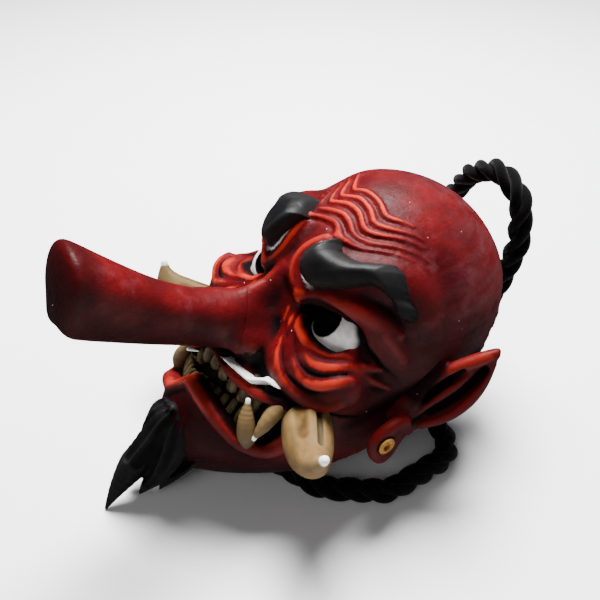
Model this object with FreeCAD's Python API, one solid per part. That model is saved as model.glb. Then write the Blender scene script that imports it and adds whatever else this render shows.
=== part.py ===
import FreeCAD, Part
import math
import os

from FreeCAD import Matrix, Placement, Rotation, Vector

os.makedirs("parts", exist_ok=True)

# A small long-nosed goblin mask lying on a table, in millimetres.
# The pieces are drawn in the mask's own frame: +X is the wearer's left, -Y is the way the
# face looks and +Z is the crown. The origin of that frame is the middle of the head. Each
# piece is then leaned back, lifted and shifted, so that z = 0 of the finished part is the table
# and its origin is the middle of the footprint.

# Attitude on the table
LEAN_DEG = 38.0            # how far the face leans back
HEAD_LIFT = 64.0           # height of the middle of the head over the table
HEAD_SHIFT = -8.2          # y of the middle of the head, which centres the part over its origin

# Cranium, an ellipsoid
CRANIUM_Y = 43.5
CRANIUM_Z = 0.6
CRANIUM_RX = 44.5
CRANIUM_RY = 48.6
CRANIUM_RZ = 50.7

WALL = 3.0                 # thickness of the cast shell
GLUE_GAP = 0.05            # gap left for glue between two pieces
SEAT = WALL + GLUE_GAP     # how deep inside the outer skin an inside piece starts

# Jaw sections below the cranium: height, y of the widest place, half width, front y, depth
# behind the widest place and squareness
JAW_SECTIONS = [
    (-8.0, 43.5, 43.6, -4.3, 46.0, 2.0),
    (-18.0, 39.0, 42.0, -8.0, 40.0, 2.05),
    (-28.0, 34.0, 39.2, -11.0, 34.0, 2.15),
    (-38.0, 29.0, 35.5, -12.8, 30.0, 2.3),
    (-48.0, 24.0, 29.5, -15.0, 26.0, 2.3),
    (-57.0, 19.0, 21.5, -15.6, 22.0, 2.2),
    (-65.0, 14.0, 13.0, -11.5, 16.0, 2.0),
    (-70.5, 10.5, 5.5, -4.0, 8.0, 2.0),
]
CHIN_TIP = (9.0, -73.2)    # y and z of the lowest point of the chin
CROWN_ANGLES = (0.0, 20.0, 40.0, 56.0, 70.0, 81.0)   # latitudes of the cranium sections, degrees
SECTION_POINTS = 24

# Open back: (y, z) points of the trimmed rim, from above the crown to below the chin
RIM_LINE = [(66.0, 60.0), (62.0, 50.0), (48.5, 14.0), (40.0, -10.0), (31.5, -35.0), (21.0, -55.0),
            (10.0, -71.0), (3.0, -80.0)]
BEHIND = 120.0             # far behind the mask

# Nose: (y, z of the centre line, radius)
NOSE_STATIONS = [(8.0, -13.0, 11.5), (-5.0, -14.5, 10.0), (-13.0, -16.5, 8.6), (-25.0, -18.6, 8.2),
                 (-38.0, -20.2, 8.7), (-50.0, -20.6, 9.8), (-59.0, -20.2, 11.0), (-65.5, -19.6, 11.3),
                 (-68.6, -19.3, 9.4)]
NOSE_SQUARE = 2.5          # squareness of the nose's sections
NOSTRIL_WING = (8.0, -5.5, -19.5, 5.8)   # x, y, z and radius of a wing
NOSTRIL_R = 2.6
NOSE_DOWEL_R = 3.0
NOSE_DOWEL_Y = (-22.0, 5.0)
NOSE_DOWEL_Z = -15.5

# Eyes
EYE_CENTRE = (19.8, -1.4)  # x and z
EYE_OPENING = (8.6, 4.3)   # half width and half height of the opening in the shell
EYE_TILT_DEG = -8.0        # the outer corner is the lower one
EYE_PLATE_R = 10.5
EYE_PLATE_THICK = 2.2
PUPIL_X = 16.3
PUPIL_Z = -1.0
PUPIL_R = 3.4

# Mouth opening, (x, z) points of the half outline from the middle of the upper lip to the
# middle of the lower lip
MOUTH_UPPER = [(0.0, -28.0), (7.5, -28.7), (14.0, -29.6), (19.5, -29.3), (24.5, -27.6), (28.0, -28.4)]
MOUTH_LOWER = [(28.5, -36.0), (25.0, -43.6), (20.0, -44.0), (12.7, -41.6), (5.7, -39.8), (0.0, -39.0)]

# Teeth: each row is a curved strip behind the opening, notched between the teeth
UPPER_ROW_Z = (-34.2, -24.5)
LOWER_ROW_Z = (-46.5, -35.6)
ROW_HALF_WIDTH = 21.0
ROW_THICK = 3.6
TOOTH_PITCH = 6.0
TOOTH_NOTCH = 1.0

# Fangs: base, tip and base radius
LOWER_FANG = ((22.8, -1.0, -44.0), (19.6, -6.6, -31.4), 2.7)
UPPER_FANG = ((26.4, 0.2, -29.0), (27.0, -3.0, -39.6), 2.4)

# Tusks: (x, y, z, radius) along the curve from the corner of the mouth to the tip
TUSK_STATIONS = [(28.0, 9.0, -29.0, 7.4), (34.5, 6.0, -32.0, 7.6), (41.5, 2.0, -33.6, 7.2),
                 (47.2, -1.6, -32.2, 5.9), (50.6, -4.2, -28.4, 3.8), (51.8, -5.2, -24.6, 1.5)]
TUSK_PIN_R = 1.5
TUSK_PIN_LENGTH = 12.0

# Brows: (x, z) points of the outline on the forehead
BROW_OUTLINE = [(8.4, 6.6), (8.2, 12.5), (11.0, 18.6), (17.0, 20.6), (23.5, 23.6), (29.5, 22.6),
                (34.6, 17.2), (34.4, 12.6), (31.4, 13.8), (26.6, 16.4), (20.5, 12.9), (14.6, 7.4)]
BROW_THICK = 4.0

# Moustache strips over the corners of the upper lip
MOUSTACHE_OUTLINE = [(5.6, -26.4), (10.0, -24.6), (16.0, -23.6), (22.0, -21.6), (25.2, -22.8),
                     (21.0, -25.6), (16.0, -27.4), (10.0, -27.8)]
MOUSTACHE_THICK = 1.6

# Ears: the leaf stands away from the head on a line along Z; its outline is given as the
# distance from that line and z. The lobe is a flat pad square to X, outlined in y and z.
EAR_LEAF = [(12.8, 19.1), (8.3, 13.7), (3.3, 6.5), (0.6, 0.1), (-0.5, -6.0), (-0.6, -12.4),
            (0.6, -18.0), (5.6, -18.5), (7.0, -14.6), (11.5, -9.7), (14.6, -4.0), (15.9, 2.2),
            (15.7, 9.5), (14.5, 14.9)]
EAR_LOBE = [(29.0, -11.5), (24.1, -13.9), (21.1, -17.8), (20.1, -22.8), (23.0, -27.3), (28.4, -29.6),
            (31.6, -27.7), (32.4, -23.8), (31.9, -19.4), (32.4, -14.4)]
EAR_FLARE_DEG = 40.0       # how far the leaf opens away from the head
EAR_FOOT = (43.5, 30.0)    # x and y of the line it opens about
EAR_THICK = 4.0
EAR_PIN_YZ = (34.0, 5.0)
EAR_PIN_R = 1.5
EAR_PIN_X = (40.6, 45.4)
EYELET_YZ = (24.2, -21.5)
EYELET_R = 2.1
EYELET_BORE_R = 1.2
EYELET_FLANGE_R = 2.9
EYELET_FLANGE = 0.8
LOBE_X = (43.4, 48.2)      # inner and outer face of the free lobe

# Beard: (y, z, half width, half depth) of its sections, from the chin to the tip
BEARD_STATIONS = [(-3.0, -56.0, 8.0, 8.5), (-9.5, -62.0, 8.6, 7.6), (-13.0, -70.0, 8.2, 5.8),
                  (-14.6, -78.0, 6.0, 4.4), (-15.4, -86.0, 3.4, 2.6), (-15.8, -92.0, 1.0, 0.9)]
BEARD_PEG_R = 2.0
BEARD_PEG = ((-13.5, -63.5), (-6.0, -57.5))   # (y, z) of the peg's ends

# Cords
CORD_R = 4.0
CORD_BEND_R = 9.0
SOCKET_GAP = 0.08          # cord in its socket
SOCKET_WALL = 2.6
SOCKET_MOUTH_X = 31.0      # the sockets open towards the middle of the mask
HANG_SOCKET_YZ = (34.0, -3.0)
HANG_BOTTOM_X = 39.5       # where each cord ends inside its sockets
TIE_SOCKET_YZ = (25.0, -24.0)
TIE_BOTTOM_X = 35.5

CORD_TURN_X = 23.0         # where the cord leaves the sockets' axis

# Hanging cord: corners of its middle line from the left socket to the right, table's frame
HANG_PATH = [(21.0, 31.8, 37.6), (21.0, 65.8, 39.0), (22.5, 71.8, 62.0), (19.5, 72.3, 77.5),
             (8.5, 71.8, 85.0), (-5.0, 73.3, 76.5), (-16.0, 76.3, 60.0), (-21.0, 66.8, 41.0),
             (-21.0, 31.8, 37.6)]

# Tie cord: the same, from the left socket over the table to the right one
TIE_PATH = [(25.0, 11.8, 24.0), (33.0, 36.8, 4.0), (46.5, 29.8, 4.0), (47.0, 2.8, 4.0),
            (34.0, -15.2, 4.0), (14.0, -23.2, 4.0), (-8.0, -16.2, 4.0), (-26.0, 5.8, 4.0),
            (-28.0, 21.8, 6.0), (-25.0, 15.8, 22.0)]

TABLE = Placement(Vector(0, HEAD_SHIFT, HEAD_LIFT), Rotation(Vector(1, 0, 0), -LEAN_DEG))
MIRROR = Matrix(-1, 0, 0, 0, 0, 1, 0, 0, 0, 0, 1, 0, 0, 0, 0, 1)


def largest_solid(shape):
    return max(shape.Solids, key=lambda solid: solid.Volume)


def save(shape, node, lean=True):
    """Write one sub-part, leaned back onto the table unless it is drawn there."""
    placed = shape.copy()
    if lean:
        placed.Placement = TABLE.multiply(placed.Placement)
    placed.exportStep("parts/" + node + ".step")


def mirrored(shape):
    """The same shape on the other side of the mask."""
    return shape.mirror(Vector(0, 0, 0), Vector(1, 0, 0))


def save_pair(shape, name):
    """Write a piece of the wearer's left side and its mirror image."""
    save(shape, name + "_left")
    save(mirrored(shape), name + "_right")


def closed_spline(points):
    spline = Part.BSplineCurve()
    spline.interpolate(points, PeriodicFlag=True)
    return Part.Wire([spline.toShape()])


def signed_power(value, power):
    return math.copysign(abs(value) ** power, value)


def head_section(z, middle_y, half_width, front, back, square):
    """One closed level section of the head, squarer than an ellipse when square is above 2."""
    points = []
    for i in range(SECTION_POINTS):
        angle = 2 * math.pi * i / SECTION_POINTS
        across = signed_power(math.sin(angle), 2 / square)
        along = signed_power(math.cos(angle), 2 / square)
        reach = front if along > 0 else back
        points.append(Vector(half_width * across, middle_y - reach * along, z))
    return closed_spline(points)


def head_solid(inset):
    """The head without its features, shrunk by inset on every side."""
    wires = []
    for height, middle_y, half_width, front_y, back, square in reversed(JAW_SECTIONS):
        low = (CRANIUM_Z - height) / (CRANIUM_Z - CHIN_TIP[1])
        wires.append(head_section(height + inset * low, middle_y, half_width - inset,
                                  middle_y - front_y - inset, back - inset, square))
    for degrees in CROWN_ANGLES:
        ring = math.cos(math.radians(degrees))
        height = CRANIUM_Z + (CRANIUM_RZ - inset) * math.sin(math.radians(degrees))
        depth = (CRANIUM_RY - inset) * ring
        wires.append(head_section(height, CRANIUM_Y, (CRANIUM_RX - inset) * ring, depth, depth, 2.0))
    chin = Part.Vertex(0, CHIN_TIP[0], CHIN_TIP[1] + inset)
    crown = Part.Vertex(0, CRANIUM_Y, CRANIUM_Z + CRANIUM_RZ - inset)
    return Part.makeLoft([chin] + wires + [crown], True)


def prism_y(outline, front=-60.0, back=16.0):
    """A smooth outline of (x, z) points, drawn through the face from front to back."""
    points = [Vector(x, front, z) for x, z in outline]
    face = Part.Face(closed_spline(points))
    return face.extrude(Vector(0, back - front, 0))


def cylinder_between(start, end, radius):
    start = Vector(*start)
    axis = Vector(*end).sub(start)
    return Part.makeCylinder(radius, axis.Length, start, axis)


def loft_rounds(stations):
    """A round horn through (x, y, z, radius) stations, square to the line between neighbours."""
    centres = [Vector(*station[:3]) for station in stations]
    wires = []
    for i, station in enumerate(stations):
        before = centres[max(i - 1, 0)]
        after = centres[min(i + 1, len(centres) - 1)]
        circle = Part.Circle(centres[i], after.sub(before), station[3])
        wires.append(Part.Wire([circle.toShape()]))
    return Part.makeLoft(wires, True)


def rim_cutter():
    """Everything behind the trimmed rim."""
    spline = Part.BSplineCurve()
    spline.interpolate([Vector(-BEHIND, y, z) for y, z in RIM_LINE])
    top = Vector(-BEHIND, BEHIND, RIM_LINE[0][1])
    bottom = Vector(-BEHIND, BEHIND, RIM_LINE[-1][1])
    edges = [spline.toShape(),
             Part.makeLine(Vector(-BEHIND, *RIM_LINE[-1]), bottom),
             Part.makeLine(bottom, top),
             Part.makeLine(top, Vector(-BEHIND, *RIM_LINE[0]))]
    return Part.Face(Part.Wire(edges)).extrude(Vector(2 * BEHIND, 0, 0))


def eye_opening(half_width, half_height):
    """A lens-shaped cutter through the front of the shell."""
    outline = []
    for i in range(12):
        angle = 2 * math.pi * i / 12
        outline.append((half_width * math.cos(angle), half_height * math.sin(angle)))
    cutter = prism_y(outline)
    cutter.rotate(Vector(0, 0, 0), Vector(0, 1, 0), -EYE_TILT_DEG)
    cutter.translate(Vector(EYE_CENTRE[0], 0, EYE_CENTRE[1]))
    return cutter


def mouth_opening():
    left = MOUTH_UPPER + MOUTH_LOWER
    right = [(-x, z) for x, z in reversed(left) if x > 0]
    return prism_y(left + right, -40.0, 12.0)


def socket(centre_yz, radius, start_x, end_x):
    start = (start_x, centre_yz[0], centre_yz[1])
    end = (end_x, centre_yz[0], centre_yz[1])
    return cylinder_between(start, end, radius)


def make_nose(outer):
    wires = []
    for y, z, radius in NOSE_STATIONS:
        points = []
        for i in range(16):
            angle = 2 * math.pi * i / 16
            across = signed_power(math.cos(angle), 2 / NOSE_SQUARE)
            along = signed_power(math.sin(angle), 2 / NOSE_SQUARE)
            points.append(Vector(radius * across, y, z + radius * along))
        wires.append(closed_spline(points))
    nose = Part.makeLoft(wires, True)
    x, y, z, radius = NOSTRIL_WING
    for side in (1, -1):
        nose = nose.fuse(Part.makeSphere(radius, Vector(side * x, y, z)))
    for side in (1, -1):
        nose = nose.cut(cylinder_between((side * x, y - 1, z - radius - 2), (side * (x - 2), y, z + 1),
                                         NOSTRIL_R))
    nose = nose.cut(outer)
    return largest_solid(nose)


def nose_dowel(radius):
    return cylinder_between((0, NOSE_DOWEL_Y[0], NOSE_DOWEL_Z), (0, NOSE_DOWEL_Y[1], NOSE_DOWEL_Z),
                            radius)


def tusk_pin(radius):
    """A pin from the shell wall into the tusk, along the tusk's root."""
    start = Vector(*TUSK_STATIONS[0][:3])
    axis = Vector(*TUSK_STATIONS[2][:3]).sub(start).normalize()
    return Part.makeCylinder(radius, TUSK_PIN_LENGTH, start.add(axis.multiply(1.0)), axis)


def ear_pin(radius):
    y, z = EAR_PIN_YZ
    return cylinder_between((EAR_PIN_X[0], y, z), (EAR_PIN_X[1], y, z), radius)


def beard_peg(radius):
    (tip_y, tip_z), (root_y, root_z) = BEARD_PEG
    return cylinder_between((0, root_y, root_z), (0, tip_y, tip_z), radius)


def eyelet_solid(bore):
    """A flanged brass tube through the lobe, on a line along X."""
    y, z = EYELET_YZ
    tube = cylinder_between((LOBE_X[0], y, z), (LOBE_X[1], y, z), EYELET_R)
    flange = cylinder_between((LOBE_X[1], y, z), (LOBE_X[1] + EYELET_FLANGE, y, z), EYELET_FLANGE_R)
    solid = tube.fuse(flange)
    if bore:
        solid = solid.cut(cylinder_between((LOBE_X[0] - 1, y, z), (LOBE_X[1] + 2, y, z), EYELET_BORE_R))
    return solid.removeSplitter()


def make_ear(outer_clear):
    outline = [Vector(0, along, z) for along, z in EAR_LEAF]
    leaf = Part.Face(closed_spline(outline)).extrude(Vector(-EAR_THICK, 0, 0))
    leaf.rotate(Vector(0, 0, 0), Vector(0, 0, 1), -EAR_FLARE_DEG)
    leaf.translate(Vector(EAR_FOOT[0], EAR_FOOT[1], 0))
    outline = [Vector(LOBE_X[0], y, z) for y, z in EAR_LOBE]
    lobe = Part.Face(closed_spline(outline)).extrude(Vector(LOBE_X[1] - LOBE_X[0], 0, 0))
    ear = leaf.fuse(lobe).cut(outer_clear).cut(ear_pin(EAR_PIN_R + GLUE_GAP))
    y, z = EYELET_YZ
    ear = ear.cut(cylinder_between((LOBE_X[0] - 4, y, z), (LOBE_X[1] + 6, y, z), EYELET_R + GLUE_GAP))
    return largest_solid(ear)


def teeth_row(low_z, high_z, edge_z):
    """A curved strip behind the lips, notched on the side of edge_z."""
    band = head_solid(SEAT).cut(head_solid(SEAT + ROW_THICK))
    slab = Part.makeBox(2 * ROW_HALF_WIDTH, 40, high_z - low_z, Vector(-ROW_HALF_WIDTH, -25, low_z))
    strip = band.common(slab)
    notch_height = 0.6 * (high_z - low_z)
    notch_z = edge_z if edge_z == low_z else edge_z - notch_height
    steps = int(ROW_HALF_WIDTH / TOOTH_PITCH)
    for i in range(-steps, steps + 1):
        x = i * TOOTH_PITCH - TOOTH_NOTCH / 2
        strip = strip.cut(Part.makeBox(TOOTH_NOTCH, 60, notch_height, Vector(x, -30, notch_z)))
    return largest_solid(strip)


def make_fang(spec, keep_out):
    base, tip, radius = spec
    root = Vector(*base)
    point = Vector(*tip)
    middle = root.add(point).multiply(0.5).add(Vector(1.2, 0, 0))
    horn = loft_rounds([(*root, radius), (*middle, 0.72 * radius), (*point, 0.25)])
    for piece in keep_out:
        horn = horn.cut(piece)
    return largest_solid(horn)


def beard_solid(outer_clear):
    wires = []
    for y, z, half_width, half_depth in BEARD_STATIONS:
        points = []
        for i in range(12):
            angle = 2 * math.pi * i / 12
            points.append(Vector(half_width * math.cos(angle), y + half_depth * math.sin(angle),
                                 z - 0.4 * half_depth * math.sin(angle)))
        wires.append(closed_spline(points))
    beard = Part.makeLoft(wires, True).cut(outer_clear)
    return largest_solid(beard.cut(beard_peg(BEARD_PEG_R + GLUE_GAP)))


def on_table(x, yz):
    return TABLE.multVec(Vector(x, yz[0], yz[1]))


def rounded_path(points, bend_radius):
    """Straight runs through the points, with an arc at every corner."""
    edges = []
    start = points[0]
    for i in range(1, len(points) - 1):
        corner = points[i]
        back = points[i - 1].sub(corner)
        ahead = points[i + 1].sub(corner)
        half = back.getAngle(ahead) / 2
        reach = min(bend_radius / math.tan(half), 0.48 * back.Length, 0.48 * ahead.Length)
        radius = reach * math.tan(half)
        back.normalize()
        ahead.normalize()
        inward = back.add(ahead).normalize()
        middle = corner.add(inward.multiply(radius / math.sin(half) - radius))
        enter = corner.add(back.multiply(reach))
        leave = corner.add(ahead.multiply(reach))
        edges.append(Part.makeLine(start, enter))
        edges.append(Part.Arc(enter, middle, leave).toShape())
        start = leave
    edges.append(Part.makeLine(start, points[-1]))
    return Part.Wire(edges)


def cord_between_sockets(socket_yz, bottom_x, middle_line):
    """A round cord with both ends along X in a pair of sockets."""
    left = on_table(bottom_x, socket_yz)
    right = on_table(-bottom_x, socket_yz)
    corners = [on_table(CORD_TURN_X, socket_yz)]
    corners += [Vector(*point) for point in middle_line]
    corners += [on_table(-CORD_TURN_X, socket_yz)]
    path = rounded_path([left] + corners + [right], CORD_BEND_R)
    profile = Part.Wire([Part.Circle(left, Vector(1, 0, 0), CORD_R).toShape()])
    return largest_solid(path.makePipeShell([profile], True, False))


outer = head_solid(0.0)
outer_clear = head_solid(-GLUE_GAP)
cavity = head_solid(WALL)
behind = rim_cutter()

sockets = ((HANG_SOCKET_YZ, HANG_BOTTOM_X), (TIE_SOCKET_YZ, TIE_BOTTOM_X))
shell = outer.cut(cavity)
for side in (1, -1):
    for centre, bottom_x in sockets:
        boss = socket(centre, CORD_R + SOCKET_WALL, side * SOCKET_MOUTH_X, side * (bottom_x + 2))
        shell = shell.fuse(boss.common(outer))
shell = shell.cut(behind)
shell = shell.cut(mouth_opening())
left_eye = eye_opening(*EYE_OPENING)
for eye in (left_eye, mirrored(left_eye)):
    shell = shell.cut(eye)
for side in (1, -1):
    for centre, bottom_x in sockets:
        bore = socket(centre, CORD_R + SOCKET_GAP, side * (SOCKET_MOUTH_X - 3), side * (bottom_x + 0.5))
        shell = shell.cut(bore)
shell = shell.cut(nose_dowel(NOSE_DOWEL_R + GLUE_GAP)).cut(beard_peg(BEARD_PEG_R + GLUE_GAP))
for pin in (tusk_pin(TUSK_PIN_R + GLUE_GAP), ear_pin(EAR_PIN_R + GLUE_GAP)):
    shell = shell.cut(pin).cut(mirrored(pin))
shell = largest_solid(shell)
save(shell, "face_shell")

nose = make_nose(outer_clear).cut(nose_dowel(NOSE_DOWEL_R + GLUE_GAP))
save(largest_solid(nose), "nose")
save(nose_dowel(NOSE_DOWEL_R), "nose_dowel")

brow_band = head_solid(-BROW_THICK).cut(outer_clear)
save_pair(largest_solid(brow_band.common(prism_y(BROW_OUTLINE, -30.0, 30.0))), "brow")

strip_band = head_solid(-MOUSTACHE_THICK).cut(outer_clear)
moustache = largest_solid(strip_band.common(prism_y(MOUSTACHE_OUTLINE, -30.0, 12.0)).cut(nose))
save_pair(moustache, "moustache")

eye_band = head_solid(SEAT).cut(head_solid(SEAT + EYE_PLATE_THICK))
eye_disc = cylinder_between((EYE_CENTRE[0], -20, EYE_CENTRE[1]), (EYE_CENTRE[0], 20, EYE_CENTRE[1]),
                            EYE_PLATE_R)
pupil = cylinder_between((PUPIL_X, -20, PUPIL_Z), (PUPIL_X, 20, PUPIL_Z), PUPIL_R)
save_pair(largest_solid(eye_band.common(eye_disc).cut(pupil)), "eye")

upper_teeth = teeth_row(UPPER_ROW_Z[0], UPPER_ROW_Z[1], UPPER_ROW_Z[0])
lower_teeth = teeth_row(LOWER_ROW_Z[0], LOWER_ROW_Z[1], LOWER_ROW_Z[1])
save(upper_teeth, "upper_teeth")
save(lower_teeth, "lower_teeth")

tusk = loft_rounds(TUSK_STATIONS).cut(outer_clear).cut(tusk_pin(TUSK_PIN_R + GLUE_GAP))
tusk = largest_solid(tusk)
save_pair(tusk, "tusk")
save(Part.makeCompound([tusk_pin(TUSK_PIN_R), mirrored(tusk_pin(TUSK_PIN_R))]), "tusk_pins")

save_pair(make_fang(LOWER_FANG, (shell, lower_teeth, tusk)), "lower_fang")
save_pair(make_fang(UPPER_FANG, (shell, upper_teeth, tusk)), "upper_fang")

save_pair(make_ear(outer_clear), "ear")
save(Part.makeCompound([ear_pin(EAR_PIN_R), mirrored(ear_pin(EAR_PIN_R))]), "ear_pins")
save_pair(eyelet_solid(True), "eyelet")

save(beard_solid(outer_clear), "beard")
save(beard_peg(BEARD_PEG_R), "beard_peg")

save(cord_between_sockets(HANG_SOCKET_YZ, HANG_BOTTOM_X, HANG_PATH), "hanging_cord", lean=False)
save(cord_between_sockets(TIE_SOCKET_YZ, TIE_BOTTOM_X, TIE_PATH), "tie_cord", lean=False)
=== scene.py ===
import math

import bpy
import numpy as np
import openvdb
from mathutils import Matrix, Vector


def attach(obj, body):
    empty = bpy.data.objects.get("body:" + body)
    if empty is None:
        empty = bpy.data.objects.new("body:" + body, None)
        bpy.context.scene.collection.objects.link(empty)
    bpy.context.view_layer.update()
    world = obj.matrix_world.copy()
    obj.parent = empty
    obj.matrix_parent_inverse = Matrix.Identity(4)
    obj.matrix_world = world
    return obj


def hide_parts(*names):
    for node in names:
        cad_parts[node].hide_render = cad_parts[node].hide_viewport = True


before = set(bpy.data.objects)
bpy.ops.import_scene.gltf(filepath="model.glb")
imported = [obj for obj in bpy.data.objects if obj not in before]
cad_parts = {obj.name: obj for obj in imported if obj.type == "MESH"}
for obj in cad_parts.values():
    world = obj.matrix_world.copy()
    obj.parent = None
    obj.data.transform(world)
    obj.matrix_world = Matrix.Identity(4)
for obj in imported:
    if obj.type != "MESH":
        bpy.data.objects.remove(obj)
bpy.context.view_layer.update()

# Everything is sculpted in the mask's own frame, in millimetres: +X the wearer's left, -Y the
# way the face looks, +Z the crown, origin in the middle of the head. to_table() then leans it
# back, lifts and shifts it, as the CAD does, and turns it into metres.
MM = 0.001
LEAN = math.radians(38.0)
HEAD_LIFT = 64.0
HEAD_SHIFT = -8.2
FAR = 8.0                   # distances are kept within this
FACE_FRONT = -24.0          # y just before the face, apart from the nose

CRANIUM = (44.5, 48.6, 50.7)
CRANIUM_CENTRE = (0.0, 43.5, 0.6)
WALL = 3.0
# Jaw sections from the chin up: height, y of the widest place, half width, front y, depth
# behind the widest place, squareness
JAW = np.array([
    (-73.2, 9.0, 1.0, 7.0, 2.0, 2.0), (-70.5, 10.5, 5.5, -4.0, 8.0, 2.0),
    (-65.0, 14.0, 13.0, -10.0, 16.0, 2.0), (-57.0, 19.0, 21.5, -13.4, 22.0, 2.2),
    (-48.0, 24.0, 29.5, -13.6, 26.0, 2.3), (-38.0, 29.0, 35.5, -12.8, 30.0, 2.3),
    (-28.0, 34.0, 39.2, -11.0, 34.0, 2.15), (-18.0, 39.0, 42.0, -8.0, 40.0, 2.05),
    (-8.0, 43.5, 43.6, -4.3, 46.0, 2.0)])
RIM = np.array([(-80.0, 3.0), (-71.0, 10.0), (-55.0, 21.0), (-35.0, 31.5), (-10.0, 40.0),
                (14.0, 48.5), (50.0, 62.0), (60.0, 66.0)])


def to_table(points):
    """Mask frame in millimetres to the part's frame in metres."""
    x, y, z = np.asarray(points, float).T
    return np.stack([x, HEAD_SHIFT + y * math.cos(LEAN) + z * math.sin(LEAN),
                     HEAD_LIFT - y * math.sin(LEAN) + z * math.cos(LEAN)], 1) * MM


def to_mask(points):
    """The part's frame in metres to the mask frame in millimetres."""
    x, y, z = np.asarray(points, float).T / MM
    y = y - HEAD_SHIFT
    z = z - HEAD_LIFT
    return np.stack([x, y * math.cos(LEAN) - z * math.sin(LEAN),
                     y * math.sin(LEAN) + z * math.cos(LEAN)], 1)


def smooth_min(a, b, width):
    """The smaller of two distances, rounded over about that width where they meet."""
    mix = np.clip(0.5 + 0.5 * (b - a) / width, 0, 1)
    return b + (a - b) * mix - width * mix * (1 - mix)


def smooth_max(a, b, width):
    return -smooth_min(-a, -b, width)


def ease(value, low, high):
    """0 below low, 1 above high, and a soft step between."""
    t = np.clip((value - low) / (high - low), 0, 1)
    return t * t * (3 - 2 * t)


def curve(points, step=0.7):
    """Even samples of a smooth curve through the points; every column is interpolated."""
    points = np.asarray(points, float)
    if len(points) < 3:
        points = np.array([points[0], points.mean(0), points[-1]])
    padded = np.vstack([2 * points[0] - points[1], points, 2 * points[-1] - points[-2]])
    out = []
    for i in range(1, len(padded) - 2):
        p0, p1, p2, p3 = padded[i - 1:i + 3]
        count = max(2, int(np.linalg.norm(p2[:2] - p1[:2]) / step))
        t = np.linspace(0, 1, count, endpoint=False)[:, None]
        out.append(0.5 * (2 * p1 + (p2 - p0) * t + (2 * p0 - 5 * p1 + 4 * p2 - p3) * t ** 2
                          + (3 * p1 - p0 - 3 * p2 + p3) * t ** 3))
    out.append(points[-1:])
    return np.vstack(out)


def softened(values, count):
    """The running mean of that many values."""
    padded = np.pad(values, count // 2, mode="edge")
    return np.convolve(padded, np.ones(count) / count, "valid")


def polygon_distance(u, v, outline):
    """Signed distance in a plane to a closed outline, negative inside."""
    outline = np.asarray(outline, float)
    best = np.full(np.broadcast(u, v).shape, 1e9)
    inside = np.zeros(best.shape, bool)
    for (au, av), (bu, bv) in zip(outline, np.roll(outline, -1, 0)):
        eu, ev = bu - au, bv - av
        t = np.clip(((u - au) * eu + (v - av) * ev) / (eu * eu + ev * ev + 1e-9), 0, 1)
        best = np.minimum(best, (u - au - t * eu) ** 2 + (v - av - t * ev) ** 2)
        crosses = (av > v) != (bv > v)
        inside ^= crosses & (u < au + (v - av) / (ev if abs(ev) > 1e-9 else 1e-9) * eu)
    return np.where(inside, -1, 1) * np.sqrt(best)


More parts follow.
